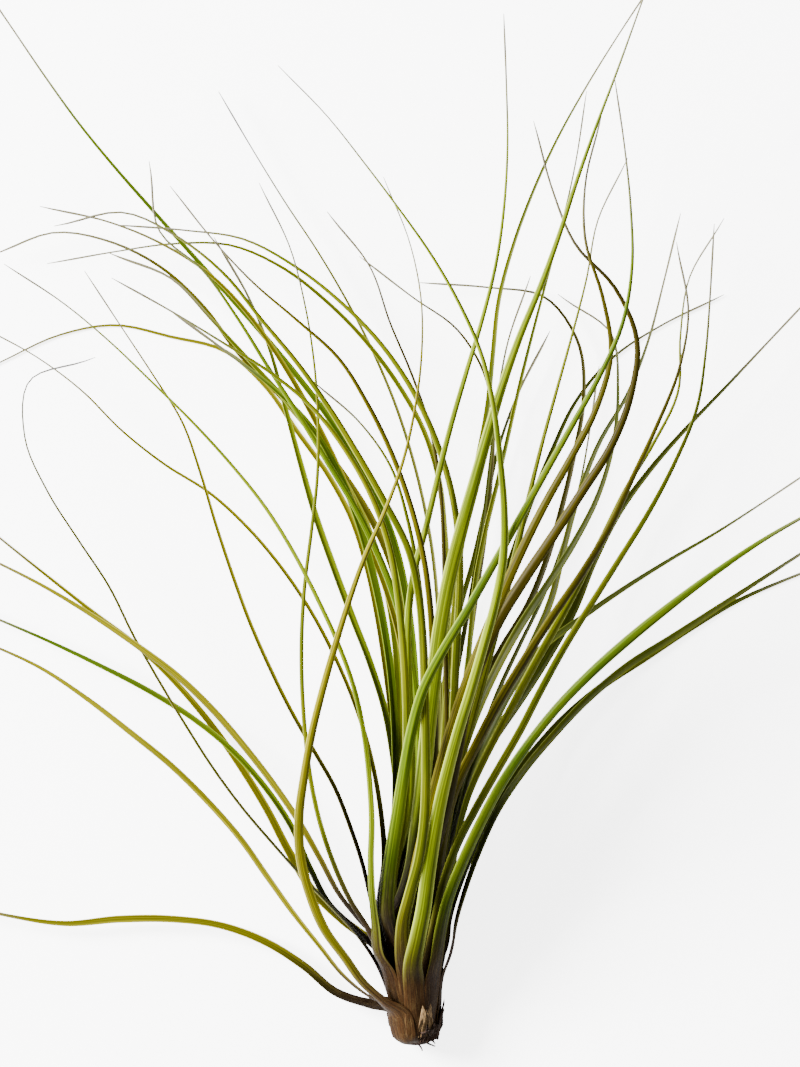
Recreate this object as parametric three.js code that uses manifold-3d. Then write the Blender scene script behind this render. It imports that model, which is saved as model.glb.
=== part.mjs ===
// A whole air plant, picked and laid on its side. Grass-like leaves stand in rings round a short stem,
// wiry roots grow out of the stem's stub, and papery old sheaths hang on round the foot of the crown.
// Millimetres, +Z up. The origin lies on the surface, under the foot of the crown, +Y runs along the
// plant towards its tips and +X to its right, seen from above.

import * as THREE from 'three';
import { mergeVertices } from 'three/addons/utils/BufferGeometryUtils.js';
import Module from 'manifold-3d';

// Crown
const CLEARANCE = 0.45; // air between neighbouring pieces
const CROWN_LEAN = -5; // degrees from +Y towards +X
const CROWN_RISE = 12; // degrees above the surface
const CROWN_START = 6; // where the crown's zero height lies along Y
const RING_SLOTS = [3, 3, 4, 5, 6, 7, 7, 8, 9]; // leaves in each ring, innermost first
const FIRST_RING_RADIUS = 2.4;
const RING_GAP = 0.35;
const RING_PHASE = 2.37; // turn from one ring to the next, in radians
const SLOT_FILL = 0.92; // share of its slot that a sheath covers
const SLOT_CLIMB = 0.8; // share of a stem step that the feet climb, once round a ring
const FOOT_DEPTH = 5; // how far below zero height the outermost leaves stand
const FOOT_RADIUS = 7.4; // of the outermost ring, there
const FLARE = 0.57; // how much wider the crown is FLARE_HEIGHT above its innermost feet
const FLARE_HEIGHT = 40;
const FLARE_POWER = 0.9;
const CHORD_SHARE = 0.75; // share of a sheath's thickness that counts between two rings

// Stem
const STEM_STEP = 2.2; // height between the feet of two rings
const STEM_SIDES = 24;
const STUB_RADIUS = 6.2;
const STUB_LENGTH = 3.5;
const STUB_BEVEL = 0.8;
const LEAST_STEM = 0.6; // radius of the growing point inside the first ring
const ROOT_RADIUS = 0.75;
const ROOT_SIDES = 6;
const ROOT_STEPS = 6;
const ROOT_DEPTH = 3; // how far a root starts inside the stub
const ROOT_RING = 0.55; // where the roots leave the stub's end, as a share of its radius
const ROOT_ANGLES = [5, 40, 85, 320, 345]; // degrees round the stub
const ROOT_LENGTH = [0.5, 2.5];
const ROOT_SPREAD = [2, 4.5];
const ROOT_WAVES = 5;
const ROOT_SEED = 5;

// Leaves
const SHEATH_THICKNESS = 0.65;
const BLADE_THICKNESS = 0.7;
const TIP_THICKNESS = 0.6;
const TIP_WIDTH = 0.7;
const POINT_LENGTH = 4; // the closing point at a leaf's tip
const CHANNEL_SHARE = 0.25; // depth of the channel as a share of the blade's width
const TAPER_POWER = 1.2; // above 1, a blade keeps its width for longer
const OUTER_SHEATH = 12; // length of a sheath in the outermost ring
const SHEATH_GAIN = 1.2; // how much longer each ring's sheaths are than those outside it
const NECK_LENGTH = 10; // stretch over which a blade keeps to its slot above the sheath
const NARROWING = 16; // distance over which a blade narrows from its sheath's width
const NARROWING_POWER = 1.2;
const LEAD_OUTWARD = 1; // how far a blade leans out of its ring there
const LEAD_SHARE = 0.3; // how far a blade keeps the crown's direction on the way to its first place
const SLOT_PULL = 0.6; // how much a blade's slot sets its height above the surface near the crown
const PULL_RANGE = [60, 170]; // along Y, from where the pull fades to where it ends
const STATION_SPACING = 19;
const SPACING_POWER = 1.25; // above 1, stations lie closer together near the crown
const FACING = 0.8; // share of the turn that would lay a blade's face level
const FACING_REACH = 0.5; // share of the blade over which it turns
const LARGEST_TWIST = 15; // degrees that a blade turns more or less than that
const TWIST_SEED = 11;
const LEAF_ROUGHNESS = 0.7;

// Old sheaths
const DRY_THICKNESS = 0.7;
const DRY_FOOT = -4; // height of their foot along the stem
const DRY_HEIGHTS = [0, 0.3, 0.65, 1]; // stations as shares of a sheath's height
const DRY_WIDTHS = [1, 1.1, 0.7, 0.2]; // and its width there
const DRY_SHEATHS = [
  { name: 'dry_sheath_1', degrees: 66, halfWidth: 3.2, top: 12 },
  { name: 'dry_sheath_2', degrees: 10, halfWidth: 2.8, top: 9 },
];
const BED_FLAT = 8; // width of the flat that the crown lies on
const BED_SIDE = 2;
const BED_SLOPE = 20; // degrees
const BED_LENGTH = 12;
const BED_START = -2; // where the bed begins, along Y
const BED_SINK = 0.7; // how far the crown sinks between its two lowest sheaths

// Settling of the leaves against one another
const SETTLE_ROUNDS = 600;
const FIRM_ROUNDS = 200; // last rounds, in which the leaves are no longer smoothed
const REFRESH_ROUNDS = 10;
const NEAR = 8; // stretches farther apart than this are left out until the next refresh
const SMOOTHING = 0.45;
const NESTING = 0.45; // share of the channel's depth that keeps two leaves apart
const LEAST_GIVE = 0.5; // bounds a push where stations hardly give way
const LEAST_FREEDOM = 0.1; // below this the slots alone keep two stretches apart
const EARLY_SHARE = 0.65; // a leaf with a lower share turns away early
const BURIED_COST = 1e4; // keeps a leaf that turns away early in the outermost ring
const SORT_HEIGHT = 62; // height along the stem at which leaves and slots are matched
const PACKED_HEIGHT = 47; // height along the stem up to which sheaths fill the crown
const RING_MARGIN = 0.6;
const PUSH_BIAS = new THREE.Vector3(0.5, 0.3, 1); // leaves give way upwards more than sideways

const TONES = { green: 0x5f7d1e, olive: 0x8f8f2a, brown: 0x6b5418 };
const STEM_TONE = 0x4a3626;
const STEM_ROUGHNESS = 0.85;
const DRY_TONE = 0x8a7358;
const DRY_ROUGHNESS = 0.8;

// Each leaf: width of its blade, share of its ring's sheath length, tone, and the places [x, y, z]
// that it passes on its way from the crown to its tip
const LEAVES = [
  [3.8, 0.4, 'olive', [[-24, 13, 9], [-46, 29, 6], [-68, 41, 3], [-102, 46, 0], [-141, 44, 0],
    [-179, 52, 0]]],
  [3.4, 0.5, 'olive', [[-22, 18, 18], [-38, 36, 24], [-52, 54, 27], [-68, 77, 29], [-91, 102, 31],
    [-114, 121, 34], [-143, 142, 38], [-185, 161, 46]]],
  [2.8, 0.7, 'green', [[-35, 52, 15], [-50, 83, 12], [-68, 107, 11], [-91, 126, 10], [-114, 139, 9],
    [-145, 154, 8], [-183, 170, 8]]],
  [3.8, 0.85, 'olive', [[-27, 50, 36], [-45, 82, 44], [-64, 109, 48], [-87, 135, 52], [-110, 153, 55],
    [-143, 174, 58], [-183, 194, 64]]],
  [3.4, 0.6, 'brown', [[-39, 55, 4], [-59, 90, 0], [-78, 119, 0], [-102, 146, 0], [-126, 165, 0],
    [-160, 192, 0], [-179, 208, 0]]],
  [1.6, 0.7, 'brown', [[-47, 67, 22], [-70, 94, 22], [-85, 116, 23], [-107, 153, 25], [-122, 182, 26],
    [-139, 206, 27], [-153, 244, 28], [-149, 254, 29], [-127, 262, 30]]],
  [2.8, 1, 'olive', [[-17, 62, 56], [-17, 92, 64], [-23, 134, 74], [-37, 169, 82], [-56, 203, 88],
    [-79, 231, 94], [-106, 258, 100], [-129, 279, 104], [-154, 296, 108]]],
  [2.6, 1, 'green', [[-12, 73, 22], [-18, 112, 20], [-31, 147, 19], [-49, 178, 18], [-75, 207, 17],
    [-106, 228, 16], [-137, 257, 16], [-166, 274, 16]]],
  [2.6, 1, 'olive', [[-19, 65, 34], [-31, 98, 36], [-45, 122, 38], [-63, 160, 40], [-77, 200, 42],
    [-89, 237, 44], [-106, 264, 46], [-125, 293, 48]]],
  [2.8, 0.85, 'olive', [[-27, 58, 48], [-38, 90, 52], [-43, 131, 58], [-43, 166, 64], [-37, 225, 72],
    [-40, 271, 78], [-49, 308, 82], [-58, 326, 84]]],
  [4.2, 0.4, 'olive', [[-17, 17, 24], [-27, 30, 33], [-36, 43, 42], [-45, 73, 58], [-42, 108, 74],
    [-31, 152, 92], [-20, 185, 104], [-6, 219, 116], [2, 262, 128], [0, 297, 136], [-11, 327, 140]]],
  [3.2, 1, 'green', [[-1, 92, 28], [-1, 150, 32], [-9, 194, 36], [-25, 227, 40], [-49, 260, 44],
    [-75, 290, 48], [-100, 318, 51], [-129, 352, 54], [-168, 408, 58]]],
  [3.6, 1, 'brown', [[-2, 92, 18], [-3, 146, 16], [-12, 188, 15], [-29, 218, 14], [-52, 247, 14],
    [-72, 268, 14], [-90, 291, 14], [-114, 306, 13], [-137, 312, 12], [-162, 304, 11]]],
  [3.2, 1, 'olive', [[-7, 92, 24], [-8, 154, 26], [-18, 196, 28], [-41, 235, 30], [-68, 266, 31],
    [-87, 286, 32], [-99, 297, 32], [-115, 302, 32]]],
  [3.4, 1, 'olive', [[-2, 100, 34], [-6, 154, 40], [-25, 208, 45], [-43, 246, 50], [-66, 281, 54],
    [-89, 302, 57], [-110, 311, 59], [-124, 317, 61], [-141, 320, 62]]],
  [3.6, 1, 'olive', [[3, 77, 62], [4, 123, 74], [-1, 184, 90], [-15, 213, 97], [-39, 252, 106],
    [-59, 277, 112], [-79, 300, 116], [-102, 314, 120], [-116, 318, 122], [-134, 313, 124]]],
  [3.2, 1, 'green', [[0, 92, 38], [-3, 150, 46], [-17, 192, 53], [-37, 227, 60], [-59, 262, 65],
    [-81, 295, 70], [-97, 308, 73], [-101, 321, 75], [-102, 334, 76]]],
  [3.6, 1, 'brown', [[6, 92, 50], [6, 154, 62], [2, 189, 70], [-11, 229, 78], [-33, 266, 85],
    [-54, 283, 89], [-75, 304, 93], [-92, 325, 96]]],
  [3.2, 1, 'olive', [[-4, 92, 52], [-5, 154, 64], [-13, 200, 72], [-34, 237, 80], [-52, 254, 84],
    [-72, 267, 88], [-95, 281, 91], [-113, 291, 93]]],
  [3.4, 1, 'brown', [[-5, 69, 12], [-8, 131, 4], [-23, 200, 0], [-45, 235, 0], [-68, 263, 0],
    [-93, 271, 0], [-122, 276, 0], [-137, 272, 0], [-179, 252, 0]]],
  [3.6, 1, 'green', [[-10, 89, 42], [-10, 127, 46], [-14, 162, 50], [-27, 210, 55], [-45, 241, 59],
    [-66, 259, 62], [-93, 279, 65]]],
  [3.6, 1, 'green', [[-6, 81, 26], [-11, 128, 25], [-22, 159, 24], [-37, 200, 24], [-47, 235, 24],
    [-57, 271, 24], [-65, 289, 24], [-75, 306, 24]]],
  [2.8, 1, 'olive', [[3, 92, 44], [3, 154, 56], [-2, 194, 63], [-11, 223, 68], [-23, 239, 71],
    [-38, 252, 74]]],
  [3.4, 1, 'brown', [[11, 92, 46], [15, 150, 54], [16, 192, 60], [9, 226, 66], [-8, 260, 72],
    [-33, 287, 77], [-64, 307, 81], [-87, 311, 84], [-112, 313, 87]]],
  [3.4, 1, 'brown', [[8, 92, 22], [12, 154, 22], [11, 196, 22], [6, 227, 22], [-10, 257, 22],
    [-35, 285, 22], [-66, 305, 22], [-95, 307, 22], [-122, 303, 22], [-139, 300, 22]]],
  [2.4, 1, 'olive', [[6, 92, 14], [8, 162, 11], [3, 204, 9], [-10, 249, 8], [-31, 292, 8],
    [-56, 331, 8], [-75, 363, 8]]],
  [5.2, 1, 'green', [[2, 46, 44], [5, 69, 56], [9, 92, 68], [15, 116, 80], [25, 150, 94],
    [33, 185, 106], [32, 221, 118], [25, 262, 128], [8, 297, 137], [-14, 328, 143], [-37, 357, 147],
    [-50, 370, 149]]],
  [1.8, 1, 'brown', [[10, 92, 34], [11, 162, 37], [8, 223, 40], [1, 249, 42], [-10, 276, 44],
    [-19, 300, 46], [-32, 316, 48]]],
  [2.2, 1, 'brown', [[12, 92, 16], [22, 162, 13], [29, 216, 12], [28, 252, 12], [15, 275, 12],
    [2, 284, 13], [-19, 300, 14]]],
  [3.8, 1, 'green', [[-2, 92, 46], [-2, 169, 62], [5, 200, 68], [14, 237, 76], [23, 268, 82],
    [30, 293, 87], [35, 331, 93], [35, 362, 97], [34, 390, 100]]],
  [5.8, 1, 'olive', [[-3, 58, 40], [2, 92, 50], [6, 131, 62], [12, 173, 74], [23, 216, 86],
    [36, 260, 98], [51, 298, 108], [65, 340, 116], [77, 372, 122], [92, 414, 128]]],
  [3.4, 1, 'olive', [[8, 92, 32], [14, 154, 38], [18, 192, 42], [28, 246, 48], [32, 285, 52],
    [41, 316, 56], [55, 348, 60], [73, 379, 64], [90, 405, 67]]],
  [3.2, 1, 'olive', [[11, 92, 26], [19, 139, 27], [23, 179, 28], [33, 223, 29], [42, 262, 30],
    [51, 296, 31], [60, 331, 32], [65, 362, 33]]],
  [5.0, 1, 'brown', [[0, 64, 50], [5, 87, 58], [17, 131, 72], [35, 177, 84], [50, 208, 91],
    [66, 237, 97], [74, 259, 101], [72, 282, 105], [65, 304, 109], [64, 325, 112], [70, 352, 115]]],
  [3.4, 1, 'olive', [[13, 92, 40], [25, 139, 44], [37, 185, 48], [46, 223, 52], [55, 256, 56],
    [64, 289, 60], [70, 318, 63], [79, 336, 66]]],
  [5.0, 1, 'olive', [[-11, 48, 46], [-6, 92, 66], [3, 135, 84], [19, 164, 96], [36, 194, 107],
    [55, 228, 117], [71, 257, 124], [81, 283, 130], [82, 314, 136], [79, 345, 141], [76, 365, 144]]],
  [5.4, 1, 'brown', [[12, 92, 52], [21, 135, 62], [32, 162, 68], [48, 187, 74], [65, 213, 80],
    [77, 233, 85], [85, 264, 91], [79, 285, 95], [62, 304, 99], [52, 327, 102], [46, 349, 104]]],
  [4.6, 1, 'brown', [[13, 96, 30], [25, 131, 32], [40, 160, 35], [59, 189, 38], [72, 216, 41],
    [77, 244, 44], [74, 273, 47], [57, 285, 50]]],
  [3.4, 1, 'olive', [[12, 85, 8], [23, 139, 3], [34, 177, 0], [48, 216, 0], [63, 248, 0],
    [76, 263, 0], [92, 274, 0], [116, 286, 0]]],
  [4.0, 1, 'olive', [[16, 92, 24], [34, 131, 24], [51, 167, 24], [60, 202, 24], [70, 229, 24],
    [85, 256, 24], [92, 279, 24], [101, 315, 24]]],
  [2.2, 1, 'olive', [[14, 81, 16], [32, 135, 16], [50, 173, 16], [62, 209, 17], [67, 235, 17],
    [70, 256, 17]]],
  [4.6, 1, 'brown', [[13, 92, 46], [21, 110, 49], [32, 131, 54], [50, 160, 60], [71, 192, 67],
    [87, 226, 73], [99, 253, 78], [104, 279, 82], [100, 303, 86]]],
  [4.0, 1, 'olive', [[18, 89, 34], [40, 135, 38], [63, 177, 43], [85, 221, 49], [99, 243, 52],
    [101, 266, 55], [103, 289, 58], [116, 313, 62]]],
  [3.8, 1, 'olive', [[13, 68, 38], [23, 89, 42], [40, 119, 48], [54, 146, 53], [73, 177, 59],
    [92, 208, 65], [108, 244, 71], [112, 277, 76], [114, 310, 80]]],
  [4.4, 1, 'green', [[11, 78, 22], [20, 101, 20], [40, 131, 18], [59, 162, 17], [74, 196, 16],
    [93, 223, 15], [119, 251, 14], [152, 286, 13]]],
  [4.0, 1, 'brown', [[15, 81, 30], [21, 102, 32], [32, 125, 33], [44, 146, 34], [62, 161, 35],
    [90, 180, 36], [117, 196, 37], [152, 219, 38]]],
  [5.0, 1, 'green', [[13, 56, 44], [20, 73, 50], [33, 99, 56], [55, 129, 63], [80, 153, 70],
    [105, 173, 76], [132, 192, 82], [171, 214, 90]]],
  [4.0, 1, 'olive', [[17, 52, 27], [32, 89, 29], [52, 116, 31], [75, 139, 33], [102, 157, 35],
    [131, 176, 37], [171, 202, 40]]],
  [3.8, 1, 'olive', [[14, 52, 10], [28, 85, 4], [51, 117, 0], [71, 135, 0], [94, 150, 0],
    [121, 167, 0], [148, 179, 0], [167, 186, 0]]],
  [3.2, 1, 'brown', [[9, 77, 11], [25, 135, 8], [46, 173, 7], [59, 216, 7], [65, 254, 7],
    [59, 278, 7], [47, 288, 7], [32, 290, 7], [5, 292, 7]]],
  [2.2, 1, 'olive', [[5, 92, 24], [18, 154, 20], [27, 208, 19], [31, 244, 18], [36, 271, 17],
    [43, 291, 16]]],
  [2.4, 1, 'olive', [[3, 81, 12], [15, 154, 8], [25, 192, 7], [32, 225, 7], [39, 246, 7],
    [51, 270, 7]]],
];

const TINY = 1e-6;
const UP = new THREE.Vector3(0, 0, 1);
const rings = ringTable();
const outerRadius = rings[rings.length - 1].radius;
const fullHeight = rings[0].foot; // from here up the crown holds all its rings
const crown = crownFrame();

// A repeatable draw between 0 and 1
function seededRandom(seed) {
  let state = seed;
  return () => {
    state = (state * 1664525 + 1013904223) % 4294967296;
    return state / 4294967296;
  };
}

// Every ring is wide enough for its flat-sided sheaths to clear the ring inside it
function ringTable() {
  let radius = 0;
  return RING_SLOTS.map((slots, index) => {
    const sag = Math.cos(Math.PI / slots / 2);
    const inside = radius + CHORD_SHARE * SHEATH_THICKNESS + RING_GAP;
    radius = index === 0 ? FIRST_RING_RADIUS : inside / sag;
    const depth = RING_SLOTS.length - 1 - index;
    return { slots, radius, depth, foot: STEM_STEP * depth - FOOT_DEPTH, phase: index * RING_PHASE };
  });
}

// The crown's own frame: Y along the stem, Z away from the surface
function crownFrame() {
  const frame = new THREE.Group();
  const rise = THREE.MathUtils.degToRad(CROWN_RISE);
  const below = (outerRadius + SHEATH_THICKNESS / 2) * Math.cos(rise) - fullHeight * Math.sin(rise);
  frame.position.set(0, CROWN_START, below + DRY_THICKNESS + CLEARANCE - BED_SINK);
  frame.rotation.set(rise, 0, -THREE.MathUtils.degToRad(CROWN_LEAN));
  frame.updateMatrixWorld();
  return frame;
}

// Radius at a height of the ring that has a given radius where the crown holds all its rings.
// Lower down the rings keep their distance, and higher up they spread.
function ringAt(radius, height) {
  const above = Math.max(height - fullHeight, 0) / FLARE_HEIGHT;
  const below = Math.max(fullHeight - height, 0) / (fullHeight + FOOT_DEPTH);
  return radius * (1 + FLARE * above ** FLARE_POWER) - below * (outerRadius - FOOT_RADIUS);
}

function radialDirection(angle) {
  return new THREE.Vector3(Math.cos(angle), 0, Math.sin(angle));
}

function crownPoint(height, radius, angle) {
  const point = radialDirection(angle).multiplyScalar(radius);
  point.y = height;
  return crown.localToWorld(point);
}

function asVector(place) {
  return new THREE.Vector3(...place);
}

// Where a leaf passes through the plane across the stem at SORT_HEIGHT
function passage([, share, , places]) {
  const route = [new THREE.Vector3(), ...places.map((place) => crown.worldToLocal(asVector(place)))];
  const after = route.findIndex((point) => point.y > SORT_HEIGHT);
  const above = after < 0 ? route[1] : route[after];
  const below = after < 0 ? route[0] : route[after - 1];
  const along = (SORT_HEIGHT - below.y) / (above.y - below.y);
  const point = below.clone().lerp(above, along);
  return { x: point.x, z: point.z, early: share < EARLY_SHARE };
}

function makeSlots() {
  return rings.flatMap((ring, index) =>
    Array.from({ length: ring.slots }, (_, place) => ({
      ring,
      outermost: index === rings.length - 1,
      foot: ring.foot + CLEARANCE + (SLOT_CLIMB * STEM_STEP * place) / ring.slots,
      angle: ring.phase + (2 * Math.PI * place) / ring.slots,
    })));
}

// Root mean square distance from the stem
function spreadOf(points) {
  return Math.sqrt(points.reduce((sum, { x, z }) => sum + x * x + z * z, 0) / points.length);
}

// The matching of rows to columns with the least sum of costs, found one row at a time along the
// cheapest chain of reassignments. Row and column zero only start the chains.
function cheapestMatching(costs) {
  const size = costs.length;
  const rowPrice = new Array(size + 1).fill(0);
  const columnPrice = new Array(size + 1).fill(0);
  const rowOf = new Array(size + 1).fill(0);
  for (let row = 1; row <= size; row += 1) {
    const reach = new Array(size + 1).fill(Infinity);
    const cameFrom = new Array(size + 1).fill(0);
    const visited = new Array(size + 1).fill(false);
    let column = 0;
    rowOf[0] = row;
    while (rowOf[column] !== 0) {
      visited[column] = true;
      let nearest = 0;
      for (let next = 1; next <= size; next += 1) {
        if (!visited[next]) {
          const price = rowPrice[rowOf[column]] + columnPrice[next];
          const cost = costs[rowOf[column] - 1][next - 1] - price;
          if (cost < reach[next]) [reach[next], cameFrom[next]] = [cost, column];
          if (nearest === 0 || reach[next] < reach[nearest]) nearest = next;
        }
      }
      const step = reach[nearest];
      for (let other = 0; other <= size; other += 1) {
        if (visited[other]) {
          rowPrice[rowOf[other]] += step;
          columnPrice[other] -= step;
        } else reach[other] -= step;
      }
      column = nearest;
    }
    while (column !== 0) {
      rowOf[column] = rowOf[cameFrom[column]];
      column = cameFrom[column];
    }
  }
  const columnOf = new Array(size);
  for (let column = 1; column <= size; column += 1) columnOf[rowOf[column] - 1] = column - 1;
  return columnOf;
}

// Every leaf takes the slot that suits where it passes, as far as the others let it
function assignSlots(passages) {
  const slots = makeSlots();
  const spots = slots.map(({ ring, angle }) => ({
    x: ring.radius * Math.cos(angle),
    z: ring.radius * Math.sin(angle),
  }));
  const scale = spreadOf(passages) / spreadOf(spots);
  const costs = passages.map(({ x, z, early }) => spots.map((spot, place) => {
    const buried = early && !slots[place].outermost ? BURIED_COST : 0;
    return (x - spot.x * scale) ** 2 + (z - spot.z * scale) ** 2 + buried;
  }));
  return cheapestMatching(costs).map((place) => slots[place]);
}

// Half width, lift of the edges and thickness of a sheath that wraps the crown in its slot
function sheathSection(slot, height) {
  const radius = ringAt(slot.ring.radius, height);
  const half = (Math.PI / slot.ring.slots) * SLOT_FILL;
  return { half: radius * Math.sin(half), lift: radius * (1 - Math.cos(half)), thick: SHEATH_THICKNESS };
}

// A blade's section at a share of its length, narrowing from its sheath's over a distance
function bladeSection(width, sheath, along, distance) {
  const wide = TIP_WIDTH + (width - TIP_WIDTH) * (1 - along ** TAPER_POWER);
  const kept = Math.exp(-((distance / NARROWING) ** NARROWING_POWER));
  return {
    half: wide / 2 + Math.max(sheath.half - wide / 2, 0) * kept,
    lift: THREE.MathUtils.lerp(wide * CHANNEL_SHARE, sheath.lift, kept),
    thick: THREE.MathUtils.lerp(BLADE_THICKNESS, TIP_THICKNESS, along),
  };
}

// A leaf's place in its slot: half its lift inside its ring, so that keel and edges lie on the ring
function slotPoint(slot, height, section, outward = 0) {
  const radius = ringAt(slot.ring.radius, height);
  return crownPoint(height, radius + outward - section.lift / 2, slot.angle);
}

// A blade's next places, lifted or lowered near the crown towards the ray that its slot lies on
function placesFrom(places, slot) {
  return places.map((place) => {
    const point = asVector(place);
    const height = crown.worldToLocal(point.clone()).y;
    const ray = crownPoint(height, ringAt(slot.ring.radius, height), slot.angle);
    const pull = SLOT_PULL * (1 - THREE.MathUtils.smoothstep(point.y, ...PULL_RANGE));
    point.z = THREE.MathUtils.lerp(point.z, Math.max(ray.z, point.z / 2), pull);
    return point;
  });
}

// Stations up the sheath, over the neck and along the blade, with a section at each
function layOutLeaf([width, share, tone, places], slot, twist) {
  const top = slot.foot + share * (OUTER_SHEATH + slot.ring.depth * SHEATH_GAIN);
  const neck = top + share * NECK_LENGTH;
  const heights = [slot.foot, (slot.foot + top) / 2, top];
  const sections = heights.map((height) => sheathSection(slot, height));
  const points = heights.map((height, index) => slotPoint(slot, height, sections[index]));
  const widest = sheathSection(slot, neck);
  const start = slotPoint(slot, neck, widest);
  const following = placesFrom(places, slot);
  const stretch = start.distanceTo(following[0]);
  const lead = slotPoint(slot, neck + share * stretch * LEAD_SHARE, widest, LEAD_OUTWARD);
  const curve = new THREE.CatmullRomCurve3([start, lead, ...following], false, 'centripetal');
  const length = curve.getLength();
  const count = Math.ceil(length / STATION_SPACING);
  for (let index = 0; index <= count; index += 1) {
    const along = (index / count) ** SPACING_POWER;
    points.push(curve.getPointAt(along));
    sections.push(bladeSection(width, widest, along, (along * length) / Math.sqrt(share)));
  }
  const leaf = {
    tone,
    twist: 0,
    points,
    sections,
    inward: radialDirection(slot.angle).negate().transformDirection(crown.matrixWorld),
    radius: slot.ring.radius,
    pinned: heights.length + 1,
    targets: points.map((point) => point.clone()),
    frames: [],
  };
  updateFrames(leaf);
  leaf.twist = twist + FACING * levelTurn(leaf);
  return leaf;
}

// The turn that would lay the middle of a blade level, whichever face comes up
function levelTurn(leaf) {
  const middle = Math.round((leaf.pinned + leaf.points.length - 1) / 2);
  const tangent = tangentAt(leaf.points, middle);
  const { inward } = leaf.frames[middle];
  const up = UP.clone().addScaledVector(tangent, -UP.dot(tangent)).normalize();
  const turn = Math.atan2(tangent.dot(inward.clone().cross(up)), inward.dot(up));
  return turn - Math.round(turn / Math.PI) * Math.PI;
}

function tangentAt(points, index) {
  const ahead = points[Math.min(index + 1, points.length - 1)];
  const behind = points[Math.max(index - 1, 0)];
  return new THREE.Vector3().subVectors(ahead, behind).normalize();
}

// Side and inward directions at every station, carried along without spin, then twisted
function updateFrames(leaf) {
  const normal = leaf.inward.clone();
  const last = leaf.points.length - 1;
  leaf.frames = leaf.points.map((_, index) => {
    const tangent = tangentAt(leaf.points, index);
    normal.addScaledVector(tangent, -normal.dot(tangent)).normalize();
    const share = Math.max(index - leaf.pinned, 0) / (last - leaf.pinned) / FACING_REACH;
    const turned = normal.clone().applyAxisAngle(tangent, leaf.twist * Math.min(share, 1));
    return { side: new THREE.Vector3().crossVectors(tangent, turned), inward: turned };
  });
}

// Left edge, keel, right edge and channel floor of one station
function sectionCorners(leaf, index) {
  const { half, lift, thick } = leaf.sections[index];
  const { side, inward } = leaf.frames[index];
  const outline = [
    [-half, lift / 2],
    [0, -lift / 2 - thick / 2],
    [half, lift / 2],
    [0, -lift / 2 + thick / 2],
  ];
  return outline.map(([across, up]) =>
    leaf.points[index].clone().addScaledVector(side, across).addScaledVector(inward, up));
}

// How far a station's section reaches in a direction
function reachOf(leaf, index, direction) {
  const { half, lift, thick } = leaf.sections[index];
  const { side, inward } = leaf.frames[index];
  const across = half * side.dot(direction);
  return Math.hypot(across, (thick / 2 + lift * NESTING) * inward.dot(direction));
}

function middleOf(leaf, index) {
  return new THREE.Vector3().addVectors(leaf.points[index], leaf.points[index + 1]).multiplyScalar(0.5);
}

// Pairs of stretches near each other, of which at least one can move
function nearPairs(leaves) {
  const stretches = leaves.flatMap((leaf) =>
    leaf.points.slice(1).map((point, index) => ({
      leaf,
      index,
      middle: middleOf(leaf, index),
      radius: point.distanceTo(leaf.points[index]) / 2,
      fixed: index + 1 < leaf.pinned,
    })));
  const pairs = [];
  stretches.forEach((first, place) => {
    for (let other = place + 1; other < stretches.length; other += 1) {
      const second = stretches[other];
      const within = first.radius + second.radius + NEAR;
      if (first.leaf !== second.leaf
        && !(first.fixed && second.fixed)
        && first.middle.distanceToSquared(second.middle) < within * within) {
        pairs.push([first, second]);
      }
    }
  });
  return pairs;
}

// Shares along two straight stretches at which they come closest
function closestShares(p, q, r, s) {
  const first = new THREE.Vector3().subVectors(q, p);
  const second = new THREE.Vector3().subVectors(s, r);
  const offset = new THREE.Vector3().subVectors(p, r);
  const a = first.dot(first);
  const e = second.dot(second);
  const f = second.dot(offset);
  const c = first.dot(offset);
  const b = first.dot(second);
  const spread = a * e - b * b;
  let along = spread > TINY ? THREE.MathUtils.clamp((b * f - c * e) / spread, 0, 1) : 0.5;
  const other = THREE.MathUtils.clamp((b * along + f) / e, 0, 1);
  along = THREE.MathUtils.clamp((b * other - c) / a, 0, 1);
  return [along, other];
}

// Side and inward directions at the station nearer to a share of a stretch
function frameAt({ leaf, index }, share) {
  return leaf.frames[index + Math.round(share)];
}

// The direction in which two stretches overlap least, pointing from the second to the first
function leastOverlap(first, along, second, other, apart) {
  const near = frameAt(first, along);
  const far = frameAt(second, other);
  const straight = apart.length() > TINY ? apart.clone().normalize() : UP;
  let least = { depth: Infinity, direction: straight };
  [straight, near.inward, far.inward, near.side, far.side].forEach((axis) => {
    const distance = Math.abs(apart.dot(axis));
    const reach = stretchReach(first, along, axis) + stretchReach(second, other, axis);
    const depth = CLEARANCE + reach - distance;
    if (depth < least.depth) least = { depth, direction: axis };
  });
  const direction = least.direction.clone();
  if (direction.dot(apart) < 0) direction.negate();
  return { depth: least.depth, direction };
}

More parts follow.
